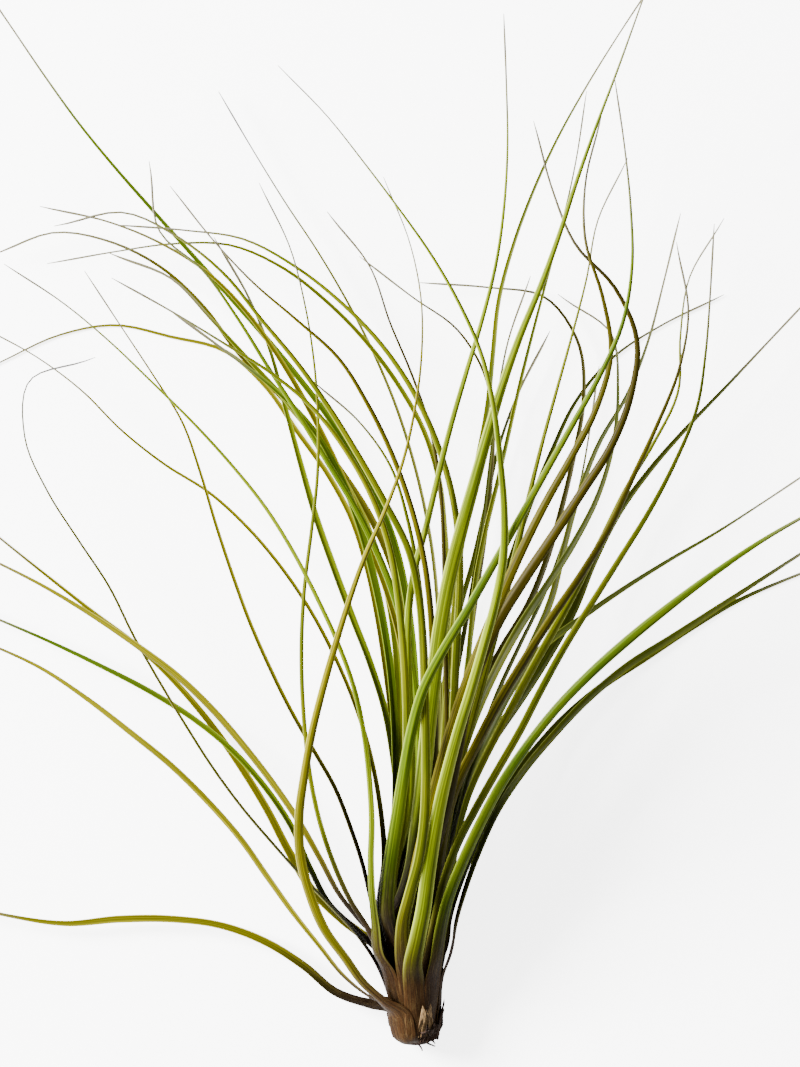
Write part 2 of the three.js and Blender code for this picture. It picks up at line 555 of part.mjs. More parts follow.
// Moves two crossing stretches apart, each in proportion to how free its stations are
function separate([first, second]) {
  const [p, q] = [first.leaf.points[first.index], first.leaf.points[first.index + 1]];
  const [r, s] = [second.leaf.points[second.index], second.leaf.points[second.index + 1]];
  const [along, other] = closestShares(p, q, r, s);
  const apart = p.clone().lerp(q, along).sub(r.clone().lerp(s, other));
  if (apart.lengthSq() > NEAR * NEAR) return;
  const shares = [
    [first, 0, 1 - along],
    [first, 1, along],
    [second, 0, other - 1],
    [second, 1, -other],
  ];
  const give = shares.map(([stretch, end, share]) => share * share * freedom(stretch, end));
  const total = give.reduce((sum, part) => sum + part);
  if (total < LEAST_FREEDOM) return;
  const { depth, direction } = leastOverlap(first, along, second, other, apart);
  if (depth <= 0) return;
  const push = direction.clone().multiply(PUSH_BIAS).normalize();
  const step = depth / (Math.max(push.dot(direction), LEAST_GIVE) * Math.max(total, LEAST_GIVE));
  shares.forEach(([stretch, end, share]) => {
    const point = stretch.leaf.points[stretch.index + end];
    point.addScaledVector(push, share * step * freedom(stretch, end));
  });
}

function stretchReach({ leaf, index }, share, direction) {
  const near = reachOf(leaf, index, direction);
  return THREE.MathUtils.lerp(near, reachOf(leaf, index + 1, direction), share);
}

function freedom({ leaf, index }, end) {
  return index + end < leaf.pinned ? 0 : 1;
}

// Spreads a leaf's displacement evenly along it, so that it gives way in a smooth bend
function smoothLeaf(leaf) {
  const moved = leaf.points.map((point, index) => point.clone().sub(leaf.targets[index]));
  for (let index = leaf.pinned; index < leaf.points.length; index += 1) {
    const next = moved[Math.min(index + 1, moved.length - 1)];
    const mean = next.clone().add(moved[index - 1]).multiplyScalar(0.5);
    const eased = moved[index].clone().lerp(mean, SMOOTHING);
    leaf.points[index].copy(leaf.targets[index]).add(eased);
  }
}

function keepAboveSurface(leaf) {
  leaf.points.forEach((point, index) => {
    const lowest = Math.min(...sectionCorners(leaf, index).map((corner) => corner.z));
    if (index >= leaf.pinned && lowest < 0) point.z -= lowest;
  });
}

// Beside the crown a blade stays outside its own ring, clear of the sheaths inside it
function keepOutsideRing(leaf) {
  for (let index = leaf.pinned; index < leaf.points.length; index += 1) {
    const local = crown.worldToLocal(leaf.points[index].clone());
    if (local.y > PACKED_HEIGHT) return;
    const radius = Math.hypot(local.x, local.z);
    const least = ringAt(leaf.radius, local.y) + RING_MARGIN;
    if (radius < least) {
      local.x *= least / radius;
      local.z *= least / radius;
      leaf.points[index].copy(crown.localToWorld(local));
    }
  }
}

// Lets the leaves push one another aside until none crosses another
function settle(leaves) {
  let pairs = [];
  for (let round = 0; round < SETTLE_ROUNDS; round += 1) {
    if (round % REFRESH_ROUNDS === 0) {
      leaves.forEach(updateFrames);
      pairs = nearPairs(leaves);
    }
    pairs.forEach(separate);
    if (round < SETTLE_ROUNDS - FIRM_ROUNDS) leaves.forEach(smoothLeaf);
    leaves.forEach(keepOutsideRing);
    leaves.forEach(keepAboveSurface);
  }
  leaves.forEach(updateFrames);
  leaves.forEach(keepAboveSurface);
}

function geometryFrom(corners, triangles) {
  const geometry = new THREE.BufferGeometry();
  const positions = corners.flatMap((corner) => corner.toArray());
  geometry.setAttribute('position', new THREE.Float32BufferAttribute(positions, 3));
  geometry.setIndex(triangles);
  geometry.computeVertexNormals();
  return geometry;
}

// A channelled blade: four corners at each station, closed at its foot and drawn out to a point.
// Diagonals start on the edges, so the two faces of the blade are split alike.
function bladeGeometry(leaf) {
  const last = leaf.points.length - 1;
  const corners = leaf.points.flatMap((_, index) => sectionCorners(leaf, index));
  const point = leaf.points[last].clone();
  corners.push(point.addScaledVector(tangentAt(leaf.points, last), POINT_LENGTH));
  const apex = corners.length - 1;
  const triangles = [0, 1, 3, 1, 2, 3];
  for (let station = 0; station <= last; station += 1) {
    for (let corner = 0; corner < 4; corner += 1) {
      const a = 4 * station + corner;
      const b = 4 * station + ((corner + 1) % 4);
      if (station === last) triangles.push(a, apex, b);
      else if (corner % 2 === 0) triangles.push(a, b + 4, b, a, a + 4, b + 4);
      else triangles.push(a, a + 4, b, b, a + 4, b + 4);
    }
  }
  return geometryFrom(corners, triangles);
}

function named(name, geometry, colour, roughness) {
  const material = new THREE.MeshStandardMaterial({ color: colour, roughness, metalness: 0 });
  const mesh = new THREE.Mesh(geometry, material);
  mesh.name = name;
  return mesh;
}

function makeLeaves() {
  const slots = assignSlots(LEAVES.map(passage));
  const random = seededRandom(TWIST_SEED);
  const leaves = LEAVES.map((row, index) => {
    const twist = THREE.MathUtils.degToRad((random() * 2 - 1) * LARGEST_TWIST);
    return layOutLeaf(row, slots[index], twist);
  });
  settle(leaves);
  return leaves.map((leaf, index) => {
    const name = `leaf_${String(index + 1).padStart(2, '0')}`;
    return named(name, bladeGeometry(leaf), TONES[leaf.tone], LEAF_ROUGHNESS);
  });
}

// Stem: a stub below, then one step for the feet of each ring
function stemGeometry() {
  const shoulder = FOOT_RADIUS + SHEATH_THICKNESS / 2;
  const profile = [
    [0, -STUB_LENGTH - FOOT_DEPTH],
    [STUB_RADIUS, -STUB_LENGTH - FOOT_DEPTH],
    [STUB_RADIUS + STUB_BEVEL, -STUB_BEVEL - FOOT_DEPTH],
    [shoulder, -FOOT_DEPTH],
  ];
  [...rings].reverse().forEach((ring) => {
    const half = (Math.PI / ring.slots) * SLOT_FILL;
    const chord = ringAt(ring.radius, ring.foot) * Math.cos(half / 2);
    const riser = Math.max(chord - SHEATH_THICKNESS / 2 - CLEARANCE, LEAST_STEM);
    profile.push([riser, ring.foot], [riser, ring.foot + STEM_STEP]);
  });
  profile.push([0, rings[0].foot + STEM_STEP]);
  return new THREE.LatheGeometry(profile.map(([x, y]) => new THREE.Vector2(x, y)), STEM_SIDES);
}

// Wiry roots leave the stub downwards and out, each with its own bend
function rootCurves() {
  const random = seededRandom(ROOT_SEED);
  return ROOT_ANGLES.map((degrees) => {
    const outward = radialDirection(THREE.MathUtils.degToRad(degrees));
    const length = THREE.MathUtils.lerp(...ROOT_LENGTH, random());
    const spread = THREE.MathUtils.lerp(...ROOT_SPREAD, random());
    const points = [0, 0.35, 0.7, 1].map((share) => {
      const point = outward.clone().multiplyScalar(STUB_RADIUS * ROOT_RING + spread * share * share);
      point.y = ROOT_DEPTH - STUB_LENGTH - FOOT_DEPTH - (length + ROOT_DEPTH) * share;
      point.x += Math.sin(share * ROOT_WAVES + degrees) * share;
      return point;
    });
    return new THREE.CatmullRomCurve3(points);
  });
}

function rootGeometry(curve) {
  const outline = new THREE.Shape();
  for (let side = 0; side < ROOT_SIDES; side += 1) {
    const angle = (2 * Math.PI * side) / ROOT_SIDES;
    const [x, y] = [ROOT_RADIUS * Math.cos(angle), ROOT_RADIUS * Math.sin(angle)];
    if (side === 0) outline.moveTo(x, y);
    else outline.lineTo(x, y);
  }
  outline.closePath();
  return new THREE.ExtrudeGeometry(outline, { steps: ROOT_STEPS, extrudePath: curve, bevelEnabled: false });
}

function joinSolids(wasm, geometries) {
  const solids = geometries.map((geometry) => {
    const bare = geometry.clone();
    bare.deleteAttribute('normal');
    bare.deleteAttribute('uv');
    const merged = mergeVertices(bare, 1e-4);
    const mesh = new wasm.Mesh({
      numProp: 3,
      vertProperties: merged.attributes.position.array,
      triVerts: new Uint32Array(merged.index.array),
    });
    return new wasm.Manifold(mesh);
  });
  const joined = solids.reduce((sum, solid) => sum.add(solid)).getMesh();
  const geometry = new THREE.BufferGeometry();
  geometry.setAttribute('position', new THREE.BufferAttribute(joined.vertProperties, 3));
  geometry.setIndex(new THREE.BufferAttribute(joined.triVerts, 1));
  geometry.computeVertexNormals();
  return geometry;
}

function makeStem(wasm) {
  const roots = rootCurves().map(rootGeometry);
  return named('stem', joinSolids(wasm, [stemGeometry(), ...roots]), STEM_TONE, STEM_ROUGHNESS);
}

// A torn old sheath outside the last ring, narrowing to a point
function drySheath({ name, degrees, halfWidth, top }) {
  const angle = THREE.MathUtils.degToRad(degrees);
  const offset = (SHEATH_THICKNESS + DRY_THICKNESS) / 2 + CLEARANCE;
  const sheath = {
    twist: 0,
    pinned: 0,
    points: DRY_HEIGHTS.map((share) => {
      const height = THREE.MathUtils.lerp(DRY_FOOT, top, share);
      return crownPoint(height, ringAt(outerRadius, height) + offset, angle);
    }),
    sections: DRY_WIDTHS.map((share) => ({
      half: halfWidth * share,
      lift: (halfWidth * share) ** 2 / outerRadius / 2,
      thick: DRY_THICKNESS,
    })),
    inward: radialDirection(angle).negate().transformDirection(crown.matrixWorld),
  };
  updateFrames(sheath);
  return named(name, bladeGeometry(sheath), DRY_TONE, DRY_ROUGHNESS);
}

// The old sheath that the crown lies on, pressed flat against the surface
function bedSheath() {
  const slope = THREE.MathUtils.degToRad(BED_SLOPE);
  const [across, up] = [BED_SIDE * Math.cos(slope), BED_SIDE * Math.sin(slope)];
  const half = BED_FLAT / 2;
  const outline = new THREE.Shape();
  outline.moveTo(-half - across, up);
  [
    [-half, 0],
    [half, 0],
    [half + across, up],
    [half + across - DRY_THICKNESS * Math.sin(slope), up + DRY_THICKNESS * Math.cos(slope)],
    [half - DRY_THICKNESS * Math.tan(slope / 2), DRY_THICKNESS],
    [-half + DRY_THICKNESS * Math.tan(slope / 2), DRY_THICKNESS],
    [-half - across + DRY_THICKNESS * Math.sin(slope), up + DRY_THICKNESS * Math.cos(slope)],
  ].forEach(([x, y]) => outline.lineTo(x, y));
  outline.closePath();
  const geometry = new THREE.ExtrudeGeometry(outline, { depth: BED_LENGTH, bevelEnabled: false });
  const mesh = named('dry_sheath_3', geometry, DRY_TONE, DRY_ROUGHNESS);
  mesh.rotation.x = Math.PI / 2;
  mesh.position.y = BED_START + BED_LENGTH;
  return mesh;
}

const wasm = await Module();
wasm.setup();
const plant = new THREE.Group();
crown.add(makeStem(wasm));
plant.add(crown, ...makeLeaves());
plant.add(...DRY_SHEATHS.map(drySheath), bedSheath());

export default plant;
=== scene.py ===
"""An air plant, picked and laid on a pale floor, seen from above in soft studio light."""

import logging
import math
from collections.abc import Iterator
from dataclasses import dataclass, replace
from enum import Enum

import bpy
import numpy as np
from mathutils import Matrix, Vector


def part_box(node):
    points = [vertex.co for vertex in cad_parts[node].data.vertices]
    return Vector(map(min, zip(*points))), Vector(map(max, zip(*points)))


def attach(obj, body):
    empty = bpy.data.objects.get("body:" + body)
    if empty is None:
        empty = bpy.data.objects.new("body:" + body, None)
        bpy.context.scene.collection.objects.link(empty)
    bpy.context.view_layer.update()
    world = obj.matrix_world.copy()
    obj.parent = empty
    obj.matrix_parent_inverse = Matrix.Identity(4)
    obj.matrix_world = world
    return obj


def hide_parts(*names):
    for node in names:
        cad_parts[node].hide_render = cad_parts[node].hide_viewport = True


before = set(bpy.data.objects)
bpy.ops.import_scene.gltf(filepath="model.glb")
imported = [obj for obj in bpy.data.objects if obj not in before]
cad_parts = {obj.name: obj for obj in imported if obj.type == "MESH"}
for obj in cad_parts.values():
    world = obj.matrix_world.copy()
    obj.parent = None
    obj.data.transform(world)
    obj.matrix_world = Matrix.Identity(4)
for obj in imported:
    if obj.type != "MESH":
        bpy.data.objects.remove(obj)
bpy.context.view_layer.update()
LOG = logging.getLogger("air_plant")

Array = np.ndarray
Colour = tuple[float, float, float, float]
Item = bpy.types.Object
Material = bpy.types.Material
Node = bpy.types.Node
Pair = tuple[float, float]
Socket = bpy.types.NodeSocket
Tree = bpy.types.NodeTree
Triple = tuple[float, float, float]

TAU = 2 * math.pi
WHITE: Colour = (1.0, 1.0, 1.0, 1.0)


# Numbers


def srgb(code: str) -> Colour:
    """Linear colour of a hexadecimal screen colour.

    Args:
        code: Six hexadecimal digits after a hash sign.

    Returns:
        Red, green, blue and an alpha of one, each channel made linear by the screen's curve.
    """
    parts = np.array([int(code[start : start + 2], 16) for start in (1, 3, 5)]) / 255
    linear = np.where(parts <= 0.04045, parts / 12.92, ((parts + 0.055) / 1.055) ** 2.4)
    return (*map(float, linear), 1.0)


def unit(vectors: Array) -> Array:
    """Vectors of length one, each divided by its own length."""
    return vectors / np.maximum(np.linalg.norm(vectors, axis=-1, keepdims=True), 1e-12)


def ease(values: Array, low: float, high: float) -> Array:
    """Smooth step: 3t^2 - 2t^3, where t runs from 0 at low to 1 at high."""
    share = np.clip((values - low) / (high - low), 0, 1)
    return share * share * (3 - 2 * share)


def lengths(points: Array) -> Array:
    """Way along a row of points to each of them."""
    return np.concatenate([[0], np.cumsum(np.linalg.norm(np.diff(points, axis=0), axis=1))])


def through(knots: Array, values: Array, query: Array) -> Array:
    """Smooth curve through values: the cubic with each knot's value and slope.

    Args:
        knots: Rising positions of the values, n of them.
        values: n values or n vectors.
        query: Positions at which the curve is wanted.

    Returns:
        One value or vector for each position. A slope is the one that numpy.gradient gives.
    """
    slopes = np.gradient(values, knots, axis=0)
    cell = np.clip(np.searchsorted(knots, query, side="right") - 1, 0, len(knots) - 2)
    wide = knots[cell + 1] - knots[cell]
    share = (query - knots[cell]) / wide
    if values.ndim > 1:
        wide, share = wide[:, None], share[:, None]
    rest = 1 - share
    return (
        values[cell] * (1 + 2 * share) * rest**2
        + values[cell + 1] * (3 - 2 * share) * share**2
        + slopes[cell] * wide * share * rest**2
        - slopes[cell + 1] * wide * rest * share**2
    )


def ripples(seed: int, count: int, query: Array, lowest: float, highest: float) -> Array:
    """Repeatable waviness: a sum of sines with drawn frequencies and phases.

    Args:
        seed: Seed of the draw.
        count: Number of sines.
        query: Positions, of any shape.
        lowest: Lowest frequency in turns per unit.
        highest: Highest frequency in turns per unit.

    Returns:
        Values of about -1 to 1 at the positions.
    """
    draw = np.random.default_rng(seed)
    frequency = draw.uniform(lowest, highest, count)
    phase = draw.uniform(0, TAU, count)
    return np.sin(TAU * query[..., None] * frequency + phase).sum(-1) / math.sqrt(count)


# Meshes


def closed_grid(name: str, rows: Array, ends: Array, notes: dict[str, Array] | None = None) -> Item:
    """Mesh object from rings of points, closed round each ring and by a pole at each end.

    Args:
        name: Name of the object.
        rows: Points, indexed by ring, place in the ring and coordinate.
        ends: The two poles, before the first ring and after the last.
        notes: Attributes to keep on the points: rings by places, or with a last axis of three.

    Returns:
        The object. Its faces are turned round where its signed volume, the sum of the
        determinants of its triangles' corners, comes out negative, so that they point outwards.
    """
    rings, places = rows.shape[:2]
    points = np.concatenate([rows.reshape(-1, 3), ends])
    place = np.arange(places)
    following = (place + 1) % places
    start = (np.arange(rings - 1) * places)[:, None]
    quads = np.stack(
        [start + place, start + following, start + places + following, start + places + place], -1
    ).reshape(-1, 4)
    first, last = rings * places, rings * places + 1
    top = (rings - 1) * places
    foot = np.stack([np.full(places, first), following, place], -1)
    head = np.stack([np.full(places, last), top + place, top + following], -1)
    fans = np.concatenate([foot, head])
    triangles = np.concatenate([quads[:, [0, 1, 2]], quads[:, [0, 2, 3]], fans])
    corners = points[triangles]
    volume = np.einsum("ij,ij->i", corners[:, 0], np.cross(corners[:, 1], corners[:, 2])).sum()
    if volume < 0:
        quads, fans = quads[:, ::-1], fans[:, ::-1]
    mesh = bpy.data.meshes.new(name)
    mesh.from_pydata(points.tolist(), [], quads.tolist() + fans.tolist())
    mesh.polygons.foreach_set("use_smooth", np.ones(len(mesh.polygons), dtype=bool))
    for note, values in (notes or {}).items():
        write_note(mesh, note, values, places)
    mesh.update()
    return linked(name, mesh)


def linked(name: str, data: bpy.types.ID) -> Item:
    """Puts a new object with the given mesh, light or camera into the scene."""
    bpy.context.scene.collection.objects.link(item := bpy.data.objects.new(name, data))
    return item


def write_note(mesh: bpy.types.Mesh, note: str, values: Array, places: int) -> None:
    """Puts a value or a vector on every point of a closed grid; a pole takes its ring's mean.

    Args:
        mesh: The grid's mesh.
        note: Name of the attribute.
        values: Values on the rings, with a last axis of three for vectors.
        places: Points in a ring.
    """
    vector = values.ndim == 3
    kind, field = ("FLOAT_VECTOR", "vector") if vector else ("FLOAT", "value")
    flat = values.reshape(-1, 3) if vector else values.reshape(-1)
    poles = np.stack([flat[:places].mean(0), flat[-places:].mean(0)])
    attribute = mesh.attributes.new(note, kind, "POINT")
    attribute.data.foreach_set(field, np.concatenate([flat, poles]).astype(np.float32).ravel())


def shell(name: str, outer: Array, inner: Array) -> Item:
    """Thin closed mesh between two surfaces, given as points by row and place."""
    rows = np.concatenate([outer, inner[:, ::-1]], axis=1)
    return closed_grid(name, rows, rows[[0, -1]].mean(1))


def joined(name: str, items: list[Item]) -> Item:
    """One object from several, in the order given.

    Args:
        name: Name of the joined object.
        items: Objects with the same attributes.

    Returns:
        The first object, renamed, with the meshes of all.
    """
    with bpy.context.temp_override(active_object=items[0], selected_editable_objects=items):
        bpy.ops.object.join()
    items[0].name = name
    items[0].data.name = name
    return items[0]


@dataclass
class Path:
    """A centreline with its own directions at each station."""

    centre: Array
    side: Array
    inward: Array

    def ring(self, across: Array, up: Array) -> Array:
        """Points at across along the side direction and up along the inward one, per station.

        Args:
            across: Distances for each station and place, or for each place.
            up: The same for the inward direction.

        Returns:
            Points indexed by station, place and coordinate.
        """
        sideways = across[..., None] * self.side[:, None]
        return self.centre[:, None] + sideways + up[..., None] * self.inward[:, None]


# Node trees


@dataclass
class Sketch:
    """Adds nodes to one shader tree and links them."""

    tree: Tree

    def node(self, kind: str, *values: object, **settings: object) -> Node:
        """Adds a node.

        Args:
            kind: Name of the node's type, without its ShaderNode prefix.
            *values: Numbers or sockets for its first inputs.
            **settings: Properties to set on it.

        Returns:
            The new node.
        """
        made = self.tree.nodes.new(f"ShaderNode{kind}")
        for key, value in settings.items():
            setattr(made, key, value)
        for socket, value in zip(made.inputs, values):
            self.feed(socket, value)
        return made

    def feed(self, socket: Socket, value: object) -> None:
        """Links a socket to another, or sets its value.

        Args:
            socket: Input of a node.
            value: Another node's output, or a number, vector or colour.
        """
        if isinstance(value, Socket):
            self.tree.links.new(value, socket)
        else:
            socket.default_value = value

    def fill(self, node: Node, values: dict[str | int, object]) -> Node:
        """Feeds several inputs of a node.

        Args:
            node: The node.
            values: Value or socket for each input, by its name or its place.

        Returns:
            The same node.
        """
        for label, value in values.items():
            self.feed(node.inputs[label], value)
        return node

    def maths(self, operation: str, *values: object, **settings: object) -> Socket:
        """Result of a Math node."""
        return self.node("Math", *values, operation=operation, **settings).outputs[0]

    def span(self, value: object, low: float, high: float, start: float, end: float) -> Socket:
        """Smooth step: start where the value is low or less, end where it is high or more."""
        numbers = (value, low, high, start, end)
        return self.node("MapRange", *numbers, interpolation_type="SMOOTHSTEP").outputs[0]

    def relief(self, shader: Node, height: Socket, strength: float, depth: float) -> None:
        """Gives a shader bumps of a depth in metres, where the height runs from 0 to 1."""
        values = {"Strength": strength, "Distance": depth, "Height": height}
        self.feed(shader.inputs["Normal"], self.fill(self.node("Bump"), values).outputs[0])

    def blend(self, share: object, first: object, second: object, mode: str = "MIX") -> Socket:
        """Colour between two colours, by the share of the second one."""
        made = self.node("Mix", share, data_type="RGBA", blend_type=mode)
        return self.fill(made, {6: first, 7: second}).outputs[2]

    def noise(self, vector: object, scale: float, detail: float = 2) -> Socket:
        """Value of a noise texture."""
        made = self.node("TexNoise")
        return self.fill(made, {"Vector": vector, "Scale": scale, "Detail": detail}).outputs[0]


def new_group(name: str, inputs: dict[str, str], outputs: dict[str, str]) -> tuple[Sketch, dict, dict]:
    """Starts a shader node group.

    Args:
        name: Name of the group.
        inputs: Socket type for each input's name.
        outputs: Socket type for each output's name.

    Returns:
        A sketch of the group's tree, its input sockets and its output sockets by name.
    """
    tree = bpy.data.node_groups.new(name, "ShaderNodeTree")
    for direction, sockets in (("INPUT", inputs), ("OUTPUT", outputs)):
        for label, kind in sockets.items():
            tree.interface.new_socket(label, in_out=direction, socket_type=f"NodeSocket{kind}")
    inside = tree.nodes.new("NodeGroupInput").outputs
    outside = tree.nodes.new("NodeGroupOutput").inputs
    return Sketch(tree), {key: inside[key] for key in inputs}, {key: outside[key] for key in outputs}


# How fine the patterns are, per metre or per half of a leaf's width
SCALES_PER_METRE = 3800
SCALE_PATCHES_PER_METRE = 260
VEINS_PER_HALF = 5.0
VEINS_PER_METRE = 14.0
FIBRES_PER_HALF = 19.0
FIBRES_PER_METRE = 160.0
LEAF_PATCHES_PER_METRE = 28

# Colours of the leaf group: Deep and Shade are painted shade colours, Shade is also the dark of the
# sheath's fibres, and Rim is partly a painted highlight
LEAF_COLOURS = ("Body", "Blush", "Deep", "Rim", "Sheath", "Shade", "Tip", "Dust")


def trichome_group() -> Tree:
    """Silvery scales: small pale cells, denser where the given density is higher.

    Returns:
        The group, whose mask is one on the scales.
    """
    inputs = {"Position": "Vector", "Density": "Float"}
    sketch, given, wanted = new_group("trichomes", inputs, {"Mask": "Float"})
    cells = sketch.node("TexVoronoi")
    sketch.fill(cells, {"Vector": given["Position"], "Scale": SCALES_PER_METRE, "Randomness": 1})
    patches = sketch.noise(given["Position"], SCALE_PATCHES_PER_METRE, 3)
    reach = sketch.maths("MULTIPLY_ADD", patches, 0.5, given["Density"])
    edge = sketch.maths("SUBTRACT", reach, cells.outputs["Distance"])
    sketch.feed(wanted["Mask"], sketch.span(edge, 0, 0.4, 0, 1))
    return sketch.tree


class Groups:
    """The node groups that several finishes share, each built once."""

    def __init__(self) -> None:
        """Builds the groups."""
        self.trichomes = trichome_group()
        self.leaf = self.leaf_group()

    def leaf_group(self) -> Tree:
        """Colour, roughness and relief of a leaf.

        The blade's colour wavers between its two body colours along veins and patches, darkens with
        painted shade on the channel's floor and near the neck, pales at the rims, partly the margin's
        own colour and partly a painted highlight, turns to the sheath's fibrous brown below the
        sheath's reach, with painted shade on the sheath's inner face and deep in the crown, greys
        towards the tip, and is dusted with trichomes, densest near the foot.

        Returns:
            The group.
        """
        colours = {key: "Color" for key in LEAF_COLOURS}
        numbers = {key: "Float" for key in ("Seed", "Inner", "Reach", "Crown shade", "Rim share")}
        sketch, given, wanted = new_group(
            "leaf",
            {"Leaf map": "Vector", "Position": "Vector", **colours, **numbers},
            {"Colour": "Color", "Roughness": "Float", "Height": "Float"},
        )
        maths, span, blend = sketch.maths, sketch.span, sketch.blend
        across, along, distance = sketch.node("SeparateXYZ", given["Leaf map"]).outputs

        def streaks(per_half: float, per_metre: float, detail: float) -> Socket:
            """Noise drawn out along the leaf."""
            parts = maths("MULTIPLY", across, per_half), maths("MULTIPLY", distance, per_metre)
            return sketch.noise(sketch.node("CombineXYZ", *parts, given["Seed"]).outputs[0], 1, detail)

        line = streaks(VEINS_PER_HALF, VEINS_PER_METRE, 3)
        moved = sketch.node("VectorMath", given["Position"], given["Seed"], operation="ADD")
        patches = sketch.noise(moved.outputs[0], LEAF_PATCHES_PER_METRE, 3)
        mixed = maths("MULTIPLY_ADD", line, 0.45, maths("MULTIPLY", patches, 0.75))
        colour = blend(span(mixed, 0.42, 0.78, 0, 1), given["Body"], given["Blush"])
        streak = span(line, 0.36, 0.64, 0.56, 1.36)
        shade = sketch.node("CombineColor", streak, streak, streak).outputs[0]
        colour = blend(1.0, colour, shade, "MULTIPLY")
        beside = maths("ABSOLUTE", across)
        # Painted shade on the inner face: the channel's floor darkens towards the Deep colour, partly
        # the channel's own deeper green and partly painted shade in the crease
        floor = maths("MULTIPLY", span(beside, 0.1, 0.8, 0.5, 0), given["Inner"])
        colour = blend(floor, colour, given["Deep"])
        # Painted shade near the neck: every leaf darkens towards the Deep colour close to its foot,
        # where the leaves crowd, and more so deep in the crown
        above = span(distance, 0.02, 0.12, 1, 0)
        neck_shade = maths("MULTIPLY", above, maths("MULTIPLY_ADD", given["Crown shade"], 0.55, 0.38))
        colour = blend(neck_shade, colour, given["Deep"])
        # Pale rims: partly the margin's own paler colour, partly a painted highlight
        edge = span(beside, 0.68, 1.0, 0, 1)
        rim = maths("MULTIPLY", edge, given["Rim share"])
        colour = blend(rim, colour, given["Rim"])
        worn = maths("MULTIPLY_ADD", patches, 0.06, maths("SUBTRACT", along, 0.03))
        colour = blend(span(worn, 0.82, 0.97, 0, 1), colour, given["Tip"])
        ratio = maths("DIVIDE", distance, given["Reach"])
        ragged = maths("MULTIPLY_ADD", line, 0.3, maths("SUBTRACT", ratio, 0.15))
        foot = span(ragged, 0.45, 1.25, 1, 0)
        # Painted shade: the sheath's inner face and the feet of leaves deep in the crown turn to the
        # Shade colour
        foot_shade = maths("MULTIPLY_ADD", given["Inner"], 0.85, given["Crown shade"], use_clamp=True)
        brown = blend(foot_shade, given["Sheath"], given["Shade"])
        # The Shade colour also darkens the sheath's fibres, which is their own colour
        brown = blend(span(line, 0.36, 0.62, 0.6, 0), brown, given["Shade"])
        grain = streaks(FIBRES_PER_HALF, FIBRES_PER_METRE, 4)
        brown = blend(span(grain, 0.38, 0.58, 0.5, 0), brown, given["Shade"])
        brown = blend(span(grain, 0.54, 0.8, 0, 0.34), brown, given["Dust"])
        colour = blend(foot, colour, brown)
        near = span(distance, 0.0, 0.12, 0.1, -0.1)
        mask = sketch.node("Group", given["Position"], near, node_tree=self.trichomes).outputs[0]
        share = maths("MULTIPLY", mask, span(distance, 0, 0.2, 0.5, 0.3))
        sketch.feed(wanted["Colour"], blend(share, colour, given["Dust"]))
        sketch.feed(wanted["Roughness"], span(mask, 0, 1, 0.46, 0.72))
        relief = maths("MULTIPLY_ADD", line, 0.6, maths("MULTIPLY", mask, 0.4))
        relief = maths("MULTIPLY_ADD", maths("MULTIPLY", grain, foot), 0.9, relief)
        sketch.feed(wanted["Height"], relief)
        return sketch.tree


def start_material(name: str) -> tuple[Material, Sketch, Node]:
    """A new material.

    Args:
        name: Name of the material.

    Returns:
        The material, a sketch of its tree and its Principled BSDF.
    """
    material = bpy.data.materials.new(name)
    material.use_nodes = True
    sketch = Sketch(material.node_tree)
    return material, sketch, material.node_tree.nodes["Principled BSDF"]


# Finishes


@dataclass(frozen=True)
class LeafTone:
    """Colours of one kind of leaf, from its sheath to its tip."""

    slot: str
    body: str
    blush: str
    # Colour of the pale rims: partly the margin's own paler colour, partly a painted highlight
    rim: str
    # Painted shade colour: the channel's floor and the leaf near the neck darken towards it
    deep: str = "#141a00"
    tip: str = "#5a5640"
    sheath: str = "#35210e"
    # Painted shade colour of the sheath's inner face and of the feet deep in the crown; it is also the
    # dark of the sheath's fibres
    shade: str = "#0b0503"
    dust: str = "#6e603c"
    # How far the rims pale, partly a painted highlight
    rim_share: float = 0.62
    relief: float = 0.35
    depth: float = 0.0002
    sheen: float = 0.05

    def material(self, name: str, groups: Groups, seed: float, reach: float, crown_shade: float) -> Material:
        """Builds the finish for one leaf.

        Args:
            name: Name of the material.
            groups: The shared node groups.
            seed: Moves the pattern, so that no two leaves match.
            reach: Length of the brown foot in metres.
            crown_shade: How dark that foot is with painted shade, from 0 to 1; it also deepens the
                painted shade near the neck.

        Returns:
            The material.
        """
        material, sketch, shader = start_material(name)
        values = {
            "Leaf map": sketch.node("Attribute", attribute_name="leaf_map").outputs["Vector"],
            "Position": sketch.node("TexCoord").outputs["Object"],
            "Inner": sketch.node("Attribute", attribute_name="inner").outputs["Fac"],
            "Seed": seed,
            "Reach": reach,
            "Crown shade": crown_shade,
            "Rim share": self.rim_share,
        }
        values |= {label: srgb(getattr(self, label.lower())) for label in LEAF_COLOURS}
        leaf = sketch.fill(sketch.node("Group", node_tree=groups.leaf), values)
        colour, roughness, height = leaf.outputs
        values = {"Base Color": colour, "Roughness": roughness, "Specular IOR Level": self.sheen}
        sketch.fill(shader, values)
        sketch.relief(shader, height, self.relief, self.depth)
        return material


class Tone(Enum):
    """Kinds of leaf on the plant."""

    FRESH = LeafTone("leaf_green", "#4a5800", "#5f6a00", "#a2ae48", deep="#2a3400", rim_share=0.75)
    GRASS = LeafTone("leaf_green", "#324800", "#485600", "#82922c")
    OLIVE = LeafTone("leaf_olive", "#404a00", "#545600", "#92983a")
    GOLD = LeafTone("leaf_olive", "#545000", "#605a00", "#9e983e")
    MOSS = LeafTone("leaf_olive", "#242c00", "#363800", "#666c1c", rim_share=0.45)
    RUST = LeafTone("leaf_brown", "#342f00", "#423d00", "#6a621a", rim_share=0.5)
    UMBER = LeafTone("leaf_brown", "#241f00", "#322b00", "#565014", rim_share=0.5)
    ASH = LeafTone("leaf_olive", "#4a4c0c", "#545318", "#7c7a40", tip="#504e4a", rim_share=0.4)


